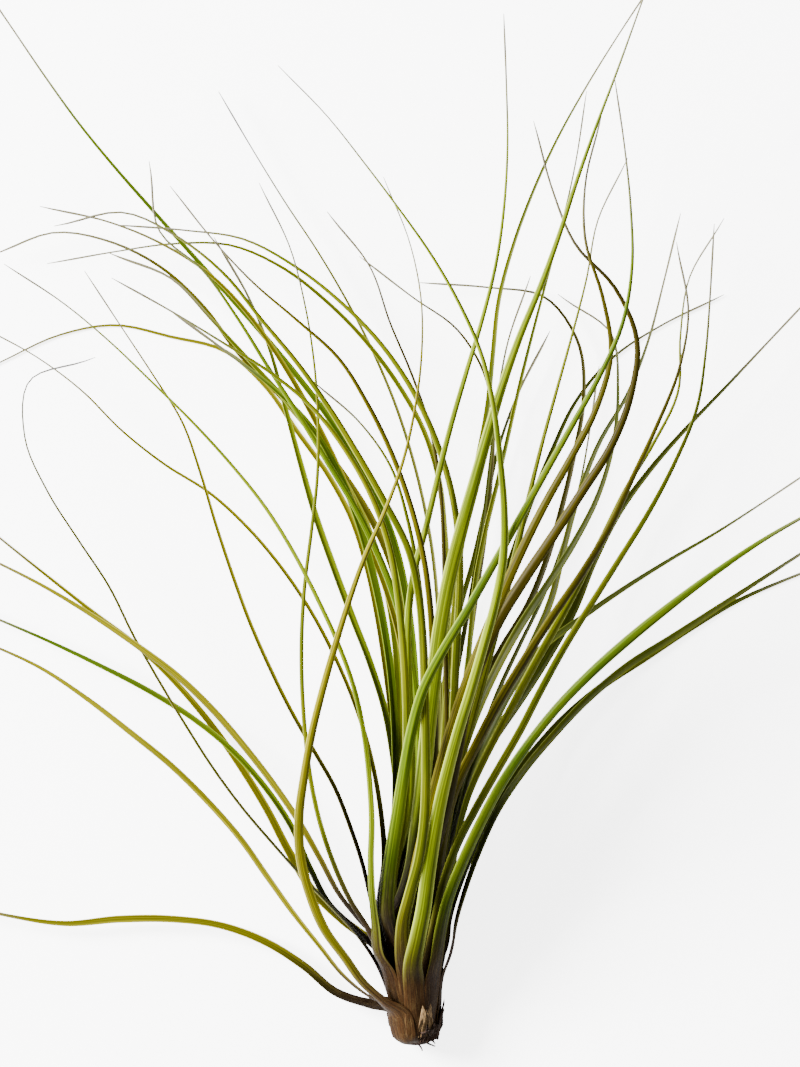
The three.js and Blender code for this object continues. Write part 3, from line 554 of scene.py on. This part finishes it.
@dataclass(frozen=True)
class FibreFinish:
    """Dry plant stuff: papery sheaths, bark and roots."""

    light: str
    dark: str
    roughness: float
    stretch: Triple
    relief: float
    spots: float = 0.0
    mix: Pair = (0.36, 0.62)
    dust: str = "#857a64"
    dusting: float = 0.02
    patches_per_metre: float = 180
    patch_share: float = 0.15
    depth: float = 0.0005
    sheen: float = 0.15

    def material(self, name: str, groups: Groups) -> Material:
        """Builds the finish: noise drawn out along the fibres mixes the dark and the light tone.

        Args:
            name: Name of the material.
            groups: The shared node groups.

        Returns:
            The material.
        """
        material, sketch, shader = start_material(name)
        position = sketch.node("TexCoord").outputs["Object"]
        drawn = sketch.fill(sketch.node("Mapping"), {"Vector": position, "Scale": self.stretch})
        fibres = sketch.noise(drawn.outputs[0], 1.0, 6)
        patches = sketch.noise(position, self.patches_per_metre, 3)
        patches = sketch.maths("MULTIPLY", patches, self.patch_share)
        mixed = sketch.maths("MULTIPLY_ADD", fibres, 1 - self.patch_share, patches)
        colour = sketch.blend(sketch.span(mixed, *self.mix, 0, 1), srgb(self.dark), srgb(self.light))
        dust = sketch.node("Group", position, self.dusting, node_tree=groups.trichomes)
        share = sketch.maths("MULTIPLY", dust.outputs[0], self.spots)
        colour = sketch.blend(share, colour, srgb(self.dust))
        values = {"Base Color": colour, "Roughness": self.roughness, "Specular IOR Level": self.sheen}
        sketch.fill(shader, values)
        sketch.relief(shader, mixed, self.relief, self.depth)
        return material


class Fibre(Enum):
    """Finishes of the plant's dry pieces."""

    BARK = FibreFinish("#3c281c", "#120a07", 0.85, (900.0, 220.0, 900.0), 0.8)
    ROOT = FibreFinish("#33241a", "#120b07", 0.8, (700.0, 250.0, 700.0), 0.7)
    HUSK = FibreFinish("#36251a", "#180e08", 0.8, (1500.0, 110.0, 1500.0), 0.6, 0.15, (0.3, 0.7))
    PAPER = FibreFinish("#77603f", "#45321f", 0.75, (1800.0, 90.0, 1800.0), 0.5, 0.1, (0.3, 0.7))


# Crown


@dataclass
class CrownFrame:
    """The crown's own directions: height along the stem, angle round it, zero to the right."""

    lean: float = math.radians(-5)
    rise: float = math.radians(12)
    start: float = 0.006
    centre_height: float = 0.00923
    full_height: float = 0.0126
    foot_depth: float = 0.005
    outer_radius: float = 0.01133
    foot_radius: float = 0.0074
    flare: float = 0.57
    flare_height: float = 0.04
    flare_power: float = 0.9

    def law(self, height: Array) -> tuple[Array, Array]:
        """How the crown's rings change with height.

        Args:
            height: Height along the stem, in metres.

        Returns:
            How many times wider they are above the full height, and how far in they are below it.
        """
        above = np.maximum(height - self.full_height, 0) / self.flare_height
        below = np.maximum(self.full_height - height, 0) / (self.full_height + self.foot_depth)
        return 1 + self.flare * above**self.flare_power, below * (self.outer_radius - self.foot_radius)

    def surface(self, height: Array) -> Array:
        """Radius of the crown's outermost ring at a height."""
        wide, drawn = self.law(height)
        return self.outer_radius * wide - drawn

    def axes(self) -> tuple[Array, Array, Array]:
        """The crown's right, its upper side and the stem's direction, in the row's frame."""
        level = math.cos(self.rise)
        axis = np.array([math.sin(self.lean) * level, math.cos(self.lean) * level, math.sin(self.rise)])
        right = np.array([math.cos(self.lean), -math.sin(self.lean), 0.0])
        return right, np.cross(right, axis), axis

    def centre(self) -> Array:
        """Where the stem's axis passes height zero."""
        return np.array([0.0, self.start, self.centre_height])

    def distance(self, point: Array) -> float:
        """Radius, at the full height, of the ring that a point lies in.

        Args:
            point: A place in the row's frame.

        Returns:
            The radius.
        """
        offset, axis = point - self.centre(), self.axes()[2]
        height = offset @ axis
        wide, drawn = self.law(height)
        return float((np.linalg.norm(offset - height * axis) + drawn) / wide)

    def place(self, height: Array, radius: Array, angle: Array) -> Array:
        """Points in the row's frame from cylinder coordinates round the stem.

        Args:
            height: Height along the stem, in metres.
            radius: Distance from its axis.
            angle: Angle round it, from the plant's right towards its upper side.

        Returns:
            The points.
        """
        right, up, axis = self.axes()
        return (
            self.centre()
            + height[..., None] * axis
            + (radius * np.cos(angle))[..., None] * right
            + (radius * np.sin(angle))[..., None] * up
        )


# Leaves


@dataclass
class Skeleton:
    """Stations of a leaf, read back from its plain solid, foot first."""

    centre: Array
    side: Array
    inward: Array
    half: Array
    lift: Array
    thick: Array
    apex: Array

    @classmethod
    def read(cls, node: Item, foot: Array) -> "Skeleton":
        """Finds the four corners of every station in a leaf node's mesh.

        The tip is the point farthest from the foot along the mesh's edges whose nearest neighbour
        is farthest off. Each next row of neighbours from it is a station. In a station, the two
        edge corners touch three corners of the station towards the tip, and the keel lies
        farther from their middle than the channel's floor does.

        Args:
            node: The leaf's node.
            foot: A place near the leaf's foot.

        Returns:
            The skeleton.
        """
        mesh = node.data
        loose = np.empty(len(mesh.vertices) * 3)
        mesh.vertices.foreach_get("co", loose)
        points, same = np.unique(loose.reshape(-1, 3).round(7), axis=0, return_inverse=True)
        edges = np.empty(len(mesh.edges) * 2, dtype=np.int64)
        mesh.edges.foreach_get("vertices", edges)
        ends = same.reshape(-1)[edges].reshape(-1, 2)
        touch = np.zeros((len(points), len(points)), dtype=bool)
        touch[ends[:, 0], ends[:, 1]] = touch[ends[:, 1], ends[:, 0]] = True
        np.fill_diagonal(touch, False)
        hops = cls.layers(touch, int(np.linalg.norm(points - foot, axis=1).argmin()))
        gaps = np.linalg.norm(points[:, None] - points[None], axis=-1)
        nearest = np.where(touch, gaps, np.inf).min(1)
        apex = int(np.where(hops == hops.max(), nearest, -1).argmax())
        row = cls.layers(touch, apex)
        stations = np.stack([np.flatnonzero(row == level) for level in range(row.max(), 0, -1)])
        later = touch & (row[None, :] < row[:, None])
        earlier = touch & (row[None, :] > row[:, None])
        forward = later.sum(1)[stations] - earlier.sum(1)[stations]
        forward[-1] = -earlier.sum(1)[stations[-1]]
        order = np.argsort(-forward, axis=1, kind="stable")
        corners = points[np.take_along_axis(stations, order, axis=1)]
        middle = corners[:, :2].mean(1)
        reach = np.linalg.norm(corners[:, 2:] - middle[:, None], axis=-1)
        far = reach.argmax(1)
        rank = np.arange(len(corners))
        keel, channel = corners[rank, 2 + far], corners[rank, 3 - far]
        spine = (keel + channel) / 2
        inward = unit(channel - keel)
        side = unit(corners[:, 1] - corners[:, 0])
        ahead = np.gradient(np.concatenate([spine, points[apex][None]]), axis=0)[:-1]
        turned = np.einsum("ij,ij->i", np.cross(ahead, inward), side) < 0
        side[turned] *= -1
        return cls(
            centre=spine,
            side=side,
            inward=inward,
            half=np.linalg.norm(corners[:, 1] - corners[:, 0], axis=1) / 2,
            lift=np.einsum("ij,ij->i", middle - spine, inward),
            thick=np.linalg.norm(channel - keel, axis=1),
            apex=points[apex],
        )

    @staticmethod
    def layers(touch: Array, start: int) -> Array:
        """Number of edges from a start point to every point.

        Args:
            touch: Which points share an edge.
            start: The start point.

        Returns:
            The numbers.
        """
        hops = np.full(len(touch), -1)
        front = np.zeros(len(touch), dtype=bool)
        front[start] = True
        count = 0
        while front.any():
            hops[front] = count
            front = touch[front].any(0) & (hops < 0)
            count += 1
        return hops


class Taper(Enum):
    """Width of a leaf's middle and of its end, beside most leaves'."""

    EVEN = (1.0, 0.98)
    THIN = (0.74, 0.78)
    SHARP = (0.82, 0.6)
    SLIM = (0.82, 0.84)
    LONG = (0.88, 1.3)
    BROAD = (1.0, 1.25)
    QUICK = (1.1, 0.8)


# What a leaf's lowest station keeps of its foot
HEEL_SHARES = {"side": 1.0, "inward": 1.0, "half": 0.62, "lift": 0.7, "thick": 0.9}


@dataclass
class LeafShape:
    """Turns a skeleton into a fine, channelled leaf."""

    stations: int = 120
    places: int = 9
    tip_half: float = 0.00012
    blade_curl: float = 1.5
    neck_fullness: float = 1.04
    fullness: float = 1.2
    full_from: float = 0.09
    middle_from: Pair = (0.15, 0.4)
    end_from: Pair = (0.45, 0.7)
    wrap: float = 0.22
    wrap_length: float = 0.026
    tilt: float = math.radians(7)
    heel: float = 0.0026
    heel_turn: float = 0.5
    sheath_stand: float = 0.0017
    sheath_lift: float = 1.5
    even_spacing: float = 0.45
    last_station: float = 0.9995
    tip_narrow: float = 0.3
    narrow_from: float = 0.6
    tip_thin: float = 0.45
    thin_from: float = 0.4
    edge_power: float = 0.8

    def build(self, name: str, skeleton: Skeleton, sheath: float, taper: Taper) -> Item:
        """Builds one leaf.

        The section is a crescent. With s = -cos(angle) across it, the middle line stands at the
        leaf's lift times |s|^curl, and each face lies half the thickness times sin(angle)^0.8
        to one side of it. Width, lift and thickness follow smooth curves through the skeleton's
        stations, and the width closes to a hair at the tip. A station that would reach below the
        floor is lifted onto it.

        Args:
            name: Name of the object.
            skeleton: Where the leaf runs.
            sheath: How much wider its sheath is than most, as a share of its width.
            taper: How its middle and its end differ in width from most leaves'.

        Returns:
            The leaf, with its map across and along the blade on its points.
        """
        skeleton = self.with_heel(skeleton)
        centres = np.concatenate([skeleton.centre, skeleton.apex[None]])
        knots = lengths(centres)
        last = knots[-1]
        share = np.linspace(0, 1, self.stations)
        where = last * (self.even_spacing * share + (1 - self.even_spacing) * share**2)
        where = np.minimum(where, last * self.last_station)
        reach = where / last

        def along(values: Array, end: Array | float) -> Array:
            """Smooth values along the leaf, with the one at the apex given."""
            return through(knots, np.concatenate([values, [end]]), where)

        centre = through(knots, centres, where)
        tangent = unit(np.gradient(centre, axis=0))
        inward = along(skeleton.inward, skeleton.inward[-1])
        inward = unit(inward - np.einsum("ij,ij->i", inward, tangent)[:, None] * tangent)
        near = 1 - ease(where, self.heel, self.wrap_length)
        turn = (self.tilt * near)[:, None]
        inward = inward * np.cos(turn) + np.cross(tangent, inward) * np.sin(turn)
        side = np.cross(tangent, inward)
        centre = centre - self.sheath_stand * sheath * near[:, None] * inward
        half = np.maximum(along(skeleton.half, self.tip_half), self.tip_half)
        fuller = (self.fullness - self.neck_fullness) * ease(where, 0, self.full_from)
        half = half * (self.neck_fullness + fuller + (self.wrap + sheath) * near)
        middle, end = taper.value
        half = half * (1 + (middle - 1) * ease(reach, *self.middle_from))
        half = half * (1 + (end / middle - 1) * ease(reach, *self.end_from))
        half = half * (1 - self.tip_narrow * ease(reach, self.narrow_from, 1.0))
        half = np.maximum(half, self.tip_half)
        lift = np.maximum(along(skeleton.lift, 0.0), 0.0) * (1 + sheath * near) ** self.sheath_lift
        thick = np.maximum(along(skeleton.thick, self.tip_half), self.tip_half)
        thick = thick * (1 - self.tip_thin * ease(reach, self.thin_from, 1.0))
        thick = np.maximum(thick, self.tip_half)
        angle = np.linspace(0, math.pi, self.places)
        s = -np.cos(angle)
        fat = np.sin(angle) ** self.edge_power
        s = np.concatenate([s, s[-2:0:-1]])
        fat = np.concatenate([-fat, fat[-2:0:-1]])
        across = half[:, None] * s
        up = lift[:, None] * np.abs(s) ** self.blade_curl + thick[:, None] / 2 * fat
        rows = Path(centre, side, inward).ring(across, up)
        rows[..., 2] += np.maximum(-rows[..., 2].min(1), 0)[:, None]
        inner = np.broadcast_to((fat > 0).astype(float), across.shape)
        leaf_map = np.stack(np.broadcast_arrays(s, reach[:, None], where[:, None]), -1)
        ends = np.stack([rows[0].mean(0), skeleton.apex])
        return closed_grid(name, rows, ends, {"leaf_map": leaf_map, "inner": inner})

    def with_heel(self, skeleton: Skeleton) -> Skeleton:
        """Skeleton with one more station below its foot, drawn in towards the stem.

        Args:
            skeleton: Where the leaf runs.

        Returns:
            The longer skeleton.
        """
        down = unit(skeleton.centre[0] - skeleton.centre[1])
        heel = skeleton.centre[0] + self.heel * (down + self.heel_turn * skeleton.inward[0])
        longer = {"centre": np.concatenate([heel[None], skeleton.centre])}
        for key, share in HEEL_SHARES.items():
            values = getattr(skeleton, key)
            longer[key] = np.concatenate([values[:1] * share, values])
        return replace(skeleton, **longer)


# Leaves of each kind and taper by number. The rest are olive and even.
LEAF_TONES = {
    Tone.FRESH: (7, 22, 27, 30, 31),
    Tone.GRASS: (3, 12, 17, 21, 36, 47),
    Tone.GOLD: (1, 2, 4, 5, 8, 9, 11, 15, 20),
    Tone.MOSS: (38, 39, 40, 41, 45, 46, 48, 49, 51, 52),
    Tone.RUST: (13, 18, 34, 42),
    Tone.UMBER: (28, 29, 37, 50),
    Tone.ASH: (6, 26),
}

LEAF_TAPERS = {
    Taper.THIN: (8, 9, 10, 26, 33),
    Taper.SHARP: (11, 27),
    Taper.SLIM: (6, 7, 18, 20, 25, 30, 32, 36),
    Taper.LONG: (1, 47, 48, 49),
    Taper.BROAD: (2, 3, 4, 14, 21, 22, 52),
    Taper.QUICK: (31, 35, 43),
}

# Leaves whose sheath is broader than most, by share of its width
LEAF_SHEATHS = {1: 0.7, 2: 0.7, 3: 0.3, 11: 1.0, 22: 0.2, 27: 0.5, 36: 0.1, 49: 0.3}

# Leaves whose brown foot has a reach of its own, by the reach in metres
LEAF_BROWNS = {0.08: (18,), 0.07: (32, 33, 46), 0.065: (44,), 0.06: (45, 48, 50), 0.055: (47,)}


def by_number(groups: dict[object, tuple[int, ...]]) -> dict[int, object]:
    """Each leaf's group by the leaf's number."""
    return {number: key for key, numbers in groups.items() for number in numbers}


@dataclass
class Foliage:
    """All the plant's leaves."""

    crown: CrownFrame
    groups: Groups
    count: int = 52
    seed: int = 7
    outer_brown: float = 0.052
    inner_brown: float = 0.095
    # How far painted shade darkens the feet of the leaves deepest in the crown
    inner_crown_shade: float = 0.95
    inner_from: float = 0.35
    brown_spread: Pair = (0.8, 1.2)
    largest_seed: float = 50

    def build(self) -> None:
        """Builds, dresses and declares every leaf."""
        draw = np.random.default_rng(self.seed)
        shape = LeafShape()
        foot = np.array(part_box("stem")).mean(0)
        tones, tapers, browns = map(by_number, (LEAF_TONES, LEAF_TAPERS, LEAF_BROWNS))
        for number in range(1, self.count + 1):
            node = f"leaf_{number:02d}"
            skeleton = Skeleton.read(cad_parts[node], foot)
            tone = tones.get(number, Tone.OLIVE).value
            sheath, taper = LEAF_SHEATHS.get(number, 0.0), tapers.get(number, Taper.EVEN)
            leaf = shape.build(f"{node}_blade", skeleton, sheath, taper)
            # Leaves nearer the stem get a longer brown foot and more painted shade
            depth = 1 - self.crown.distance(skeleton.centre[0]) / self.crown.outer_radius
            inner = min(max(depth, 0) / self.inner_from, 1)
            brown = self.outer_brown + (self.inner_brown - self.outer_brown) * inner
            seed = draw.uniform(0, self.largest_seed)
            reach = browns.get(number, brown) * draw.uniform(*self.brown_spread)
            finish = tone.material(node, self.groups, seed, reach, self.inner_crown_shade * inner)
            declare(leaf, node, tone.slot, finish)
        LOG.info("leaves: %d", self.count)


def declare(piece: Item, node: str, slot: str, finish: Material) -> None:
    """Dresses a piece, makes it ride on the plant's one body and stand for a node.

    Args:
        piece: The piece.
        node: Name of the node.
        slot: Material slot of that node; not used.
        finish: What the piece looks like.
    """
    piece.data.materials.append(finish)
    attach(piece, "root")
    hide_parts(node)


# Stem and old sheaths

# A direction that no root runs along
ROOT_UP = (0.31, 0.2, 0.93)


def congruential(state: int) -> Iterator[float]:
    """Draws from 0 to 1 of the linear congruential generator that the plain model uses too.

    Args:
        state: The seed.

    Yields:
        The draws.
    """
    while True:
        state = (state * 1664525 + 1013904223) % 2**32
        yield state / 2**32


@dataclass
class Stub:
    """The stem's old end, scarred where leaves have dropped, with its wiry roots."""

    crown: CrownFrame
    groups: Groups
    heights: tuple[float, ...] = (-0.0085, -0.0078, -0.0068, -0.005, -0.003, 0.0, 0.006, 0.010)
    radii: tuple[float, ...] = (0.0046, 0.0059, 0.0068, 0.0074, 0.0066, 0.0056, 0.004, 0.002)
    places: int = 180
    rings: int = 110
    scar_height: float = 0.0018
    scars_round: int = 7
    scar_turn: float = 2.4
    broad_swell: float = 0.02
    scar_swell: float = 0.03
    fibre_swell: float = 0.018
    root_angles: tuple[float, ...] = (5, 40, 85, 320, 345)
    root_seed: int = 5
    root_radius: float = 0.0006
    root_thinning: float = 0.55
    root_knobs: float = 0.14
    root_ring: float = 0.0034
    root_start: float = -0.0055
    root_drop: Pair = (0.0035, 0.0055)
    root_out: Pair = (0.002, 0.0045)
    root_sway: float = 0.001

    def build_stub(self) -> Item:
        """Builds the stub: a turned profile, swollen and dented by leaf scars and fibres.

        The radius is the profile's, times one plus waves: three and five broad ones round the
        stub, rows of scars, and fine fibres.

        Returns:
            The stub.
        """
        height = np.linspace(self.heights[0], self.heights[-1], self.rings)
        radius = through(np.array(self.heights), np.array(self.radii), height)
        angle = np.linspace(0, TAU, self.places, endpoint=False)
        tall, around = np.meshgrid(height, angle, indexing="ij")
        row = tall / self.scar_height
        scars = np.cos(self.scars_round * around + np.floor(row) * self.scar_turn) * np.sin(TAU * row)
        fibres = ripples(3, 9, around / TAU * 60 + tall * 90, 0.4, 1.6)
        broad = np.sin(3 * around + tall * 260) + 0.6 * np.sin(5 * around + 1.3)
        swell = 1 + self.broad_swell * broad + self.scar_swell * scars + self.fibre_swell * fibres
        points = self.crown.place(tall, radius[:, None] * swell, around)
        middle = self.crown.place(height[[0, -1]], np.zeros(2), np.zeros(2))
        return closed_grid("stem_stub", points, middle)

    def build_root(self, name: str, route: Array, seed: int) -> Item:
        """Builds a root: a round tube along a smooth curve, thinning and knobbly.

        Args:
            name: Name of the object.
            route: Points that the root passes, in the row's frame.
            seed: Seed of its knobs.

        Returns:
            The root.
        """
        knots = lengths(route)
        where = np.linspace(0, knots[-1], 40)
        centre = through(knots, route, where)
        tangent = unit(np.gradient(centre, axis=0))
        side = unit(np.cross(tangent, np.array(ROOT_UP)))
        path = Path(centre, side, np.cross(tangent, side))
        angle = np.linspace(0, TAU, 10, endpoint=False)
        share = where / knots[-1]
        knobs = 1 + self.root_knobs * ripples(seed, 5, share[:, None] * 6 + angle / TAU, 0.5, 2)
        size = self.root_radius * (1 - self.root_thinning * share[:, None]) * knobs
        rows = path.ring(size * np.cos(angle), size * np.sin(angle))
        return closed_grid(name, rows, centre[[0, -1]])

    def root_routes(self) -> list[Array]:
        """Routes of the wiry roots: out of the stub's end, then away from the stem with a bend.

        Returns:
            One array of points for each root.
        """
        draws = congruential(self.root_seed)
        share = np.linspace(0, 1, 7)
        routes = []
        for degrees in self.root_angles:
            drop = np.interp(next(draws), (0, 1), self.root_drop)
            out = np.interp(next(draws), (0, 1), self.root_out)
            angle = math.radians(degrees)
            reach = self.root_ring + out * share**2
            sway = np.sin(share * 5 + degrees) * share * self.root_sway
            across = reach * math.cos(angle) + sway
            over = reach * math.sin(angle)
            tall = self.root_start - drop * share
            routes.append(self.crown.place(tall, np.hypot(across, over), np.arctan2(over, across)))
        return routes

    def build(self) -> None:
        declare(self.build_stub(), "stem", "stem", Fibre.BARK.value.material("bark", self.groups))
        routes = enumerate(self.root_routes())
        roots = [self.build_root(f"root_{index}", route, index) for index, route in routes]
        skin = Fibre.ROOT.value.material("root_skin", self.groups)
        declare(joined("stem_roots", roots), "stem", "stem", skin)
        LOG.info("stem: stub and %d roots", len(roots))


@dataclass
class OldSheaths:
    """Papery sheaths of dead leaves round the crown's foot, and the scraps left of older ones."""

    crown: CrownFrame
    groups: Groups
    offset: float = 0.0011
    scraps: int = 13
    scraps_from: float = 185
    scraps_over: float = 265
    scraps_stray: float = 12
    scrap_foot: Pair = (-0.008, -0.0045)
    scrap_height: Pair = (0.003, 0.011)
    scrap_wide: Pair = (0.0018, 0.0042)
    scrap_curl: Pair = (0.0, 0.001)
    seed: int = 16
    half_thick: float = 0.00015
    wave: float = 0.00025
    bed_flat: float = 0.7
    bed_half: float = 0.004
    bed_side: float = 0.0019
    bed_start: float = -0.002
    bed_length: float = 0.012
    bed_rise: float = 0.0007
    bed_wave: float = 0.0001
    bed_thick: float = 0.0004

    def flap(
        self, name: str, degrees: float, low: float, high: float, wide: float, curl: float, seed: int
    ) -> Item:
        """Builds a torn flap that wraps the crown.

        It is a thin shell over a rectangle of height and angle. Its upper end is torn into a few
        long teeth, a sum of sines over its width, and it curls away from the crown by the cube
        of the height. It ripples along the fibres and stays above the floor.

        Args:
            name: Name of the object.
            degrees: Angle of its middle round the crown.
            low: Height of its foot in metres.
            high: Height of its highest tooth.
            wide: Half its width at the foot, in metres.
            curl: How far its upper end stands off, in metres.
            seed: Seed of its tears.

        Returns:
            The flap.
        """
        share = np.linspace(0, 1, 40)[:, None]
        s = np.linspace(-1, 1, 41)
        teeth = 0.5 + 0.5 * np.clip(ripples(seed, 6, s, 0.3, 2.2), -1, 1)
        top = 0.35 + 0.6 * teeth * (1 - 0.5 * s**2) + 0.05 * ripples(seed + 9, 4, s, 2, 6)
        tall = low + (high - low) * share * top
        drift = 0.12 * ripples(seed + 1, 4, share, 0.3, 1.2)
        across = wide * (s * (1 - 0.3 * share**1.5) + drift * share)
        wave = self.wave * ripples(seed + 2, 5, s * 1.6 + share * 0.3, 0.8, 3)
        surface = self.crown.surface(tall)
        radius = surface + self.offset + wave + curl * share**3
        angle = math.radians(degrees) + across / surface
        outer = self.crown.place(tall, radius + self.half_thick, angle)
        inner = self.crown.place(tall, radius - self.half_thick, angle)
        outer[..., 2] = np.maximum(outer[..., 2], 0)
        inner[..., 2] = np.maximum(inner[..., 2], 2 * self.half_thick)
        return shell(name, outer, inner)

    def bed(self) -> Item:
        """Builds the sheath that the crown lies on: a flat strip with both sides turned up.

        Returns:
            The strip.
        """
        share = np.linspace(0, 1, 60)[:, None]
        s = np.linspace(-1, 1, 41)
        bent = np.maximum(np.abs(s) - self.bed_flat, 0) / (1 - self.bed_flat)
        narrow = 1 - 0.12 * share**2 + 0.04 * ripples(4, 6, share, 1, 6)
        flat = np.minimum(np.abs(s), self.bed_flat) / self.bed_flat
        x = np.sign(s) * (flat * self.bed_half + bent * self.bed_side) * narrow
        y = self.bed_start + self.bed_length * share * (1 - 0.08 * np.abs(ripples(9, 6, s, 0.6, 3)))
        waves = self.bed_wave * ripples(8, 5, s * 2 + share * 0.4, 0.8, 3)
        z = self.bed_rise * bent**1.4 + waves * bent
        top = np.stack(np.broadcast_arrays(x, y, z + self.bed_thick), -1)
        low = np.stack(np.broadcast_arrays(x, y, np.maximum(z, 0)), -1)
        return shell("dry_sheath_3_paper", top, low)

    def torn_scraps(self) -> Item:
        """Builds the scraps of older sheaths: flaps at drawn places round the stub.

        Returns:
            The scraps, joined.
        """
        draw = np.random.default_rng(self.seed)
        pieces = []
        for index in range(self.scraps):
            degrees = self.scraps_from + self.scraps_over * index / self.scraps
            degrees += draw.uniform(-self.scraps_stray, self.scraps_stray)
            low = draw.uniform(*self.scrap_foot)
            least, more = self.scrap_height
            high = low + least + more * draw.uniform(0, 1) ** 2
            wide = draw.uniform(*self.scrap_wide)
            curl = draw.uniform(*self.scrap_curl)
            pieces.append(self.flap(f"scrap_{index}", degrees, low, high, wide, curl, 50 + 3 * index))
        return joined("dry_scraps", pieces)

    def build(self) -> None:
        paper = Fibre.PAPER.value.material("paper", self.groups)
        husk = Fibre.HUSK.value.material("husk", self.groups)
        first = self.flap("dry_sheath_1_paper", 66, -0.0045, 0.012, 0.0032, 0.0008, 21)
        second = self.flap("dry_sheath_2_paper", 10, -0.0045, 0.009, 0.0028, 0.0006, 31)
        declare(first, "dry_sheath_1", "dry_sheath", paper)
        declare(second, "dry_sheath_2", "dry_sheath", husk)
        declare(self.bed(), "dry_sheath_3", "dry_sheath", paper)
        declare(self.torn_scraps(), "dry_sheath_1", "dry_sheath", husk)
        LOG.info("old sheaths: 3, and %d scraps", self.scraps)


# Studio


@dataclass
class Studio:
    """Pale floor, soft light and the camera above the plant."""

    centre: Pair = (-0.00616, 0.195)
    frame_height: float = 0.4108
    reference: float = 0.055
    distance: float = 7.0
    sensor: float = 36.0
    clip_end: float = 100.0
    floor_half: float = 3.0
    floor_dark: Colour = (0.86, 0.86, 0.855, 1.0)
    floor_light: Colour = (0.9, 0.9, 0.895, 1.0)
    floor_roughness: float = 0.9
    floor_glow: float = 4.5
    key_place: Triple = (-2.0, 0.9, 1.35)
    key_size: float = 1.0
    key_power: float = 530.0
    surroundings: float = 0.68

    def floor(self) -> None:
        """Lays a plain floor, a little brighter to the camera than its light."""
        half = self.floor_half
        mesh = bpy.data.meshes.new("floor")
        corners = [(-half, -half, 0.0), (half, -half, 0.0), (half, half, 0.0), (-half, half, 0.0)]
        mesh.from_pydata(corners, [], [(0, 1, 2, 3)])
        material, sketch, shader = start_material("floor")
        grain = sketch.noise(sketch.node("TexCoord").outputs["Object"], 3, 2)
        seen = sketch.node("LightPath").outputs["Is Camera Ray"]
        values = {
            "Base Color": sketch.blend(grain, self.floor_dark, self.floor_light),
            "Roughness": self.floor_roughness,
            "Emission Color": WHITE,
            "Emission Strength": sketch.maths("MULTIPLY", seen, self.floor_glow),
        }
        sketch.fill(shader, values)
        mesh.materials.append(material)
        linked("floor", mesh)

    def lamp(self) -> None:
        """Hangs a square lamp that points at the plant."""
        light = bpy.data.lights.new("key", "AREA")
        light.shape = "SQUARE"
        light.size = self.key_size
        light.energy = self.key_power
        item = linked("key", light)
        item.location = self.key_place
        away = np.array(self.key_place) - np.array([*self.centre, self.reference])
        tilt = math.acos(away[2] / np.linalg.norm(away))
        item.rotation_euler = (tilt, 0.0, math.atan2(away[1], away[0]) + math.pi / 2)

    def camera(self) -> None:
        """Puts the camera straight above the plant, with a long lens."""
        data = bpy.data.cameras.new("camera")
        data.sensor_width = self.sensor
        data.lens = self.sensor * (self.distance - self.reference) / self.frame_height
        data.clip_end = self.clip_end
        item = linked("camera", data)
        item.location = (*self.centre, self.distance)
        bpy.context.scene.camera = item

    def build(self) -> None:
        """Sets up the camera, the floor, the lamp and the pale surroundings."""
        self.camera()
        self.floor()
        self.lamp()
        world = bpy.data.worlds.new("studio")
        world.use_nodes = True
        background = world.node_tree.nodes["Background"]
        Sketch(world.node_tree).fill(background, {"Color": WHITE, "Strength": self.surroundings})
        bpy.context.scene.world = world


def main() -> None:
    """Builds the plant and its studio, piece by piece."""
    logging.basicConfig(level=logging.INFO, format="%(message)s")
    Studio().build()
    groups = Groups()
    crown = CrownFrame()
    Foliage(crown, groups).build()
    Stub(crown, groups).build()
    OldSheaths(crown, groups).build()


if __name__ == "__main__":
    main()
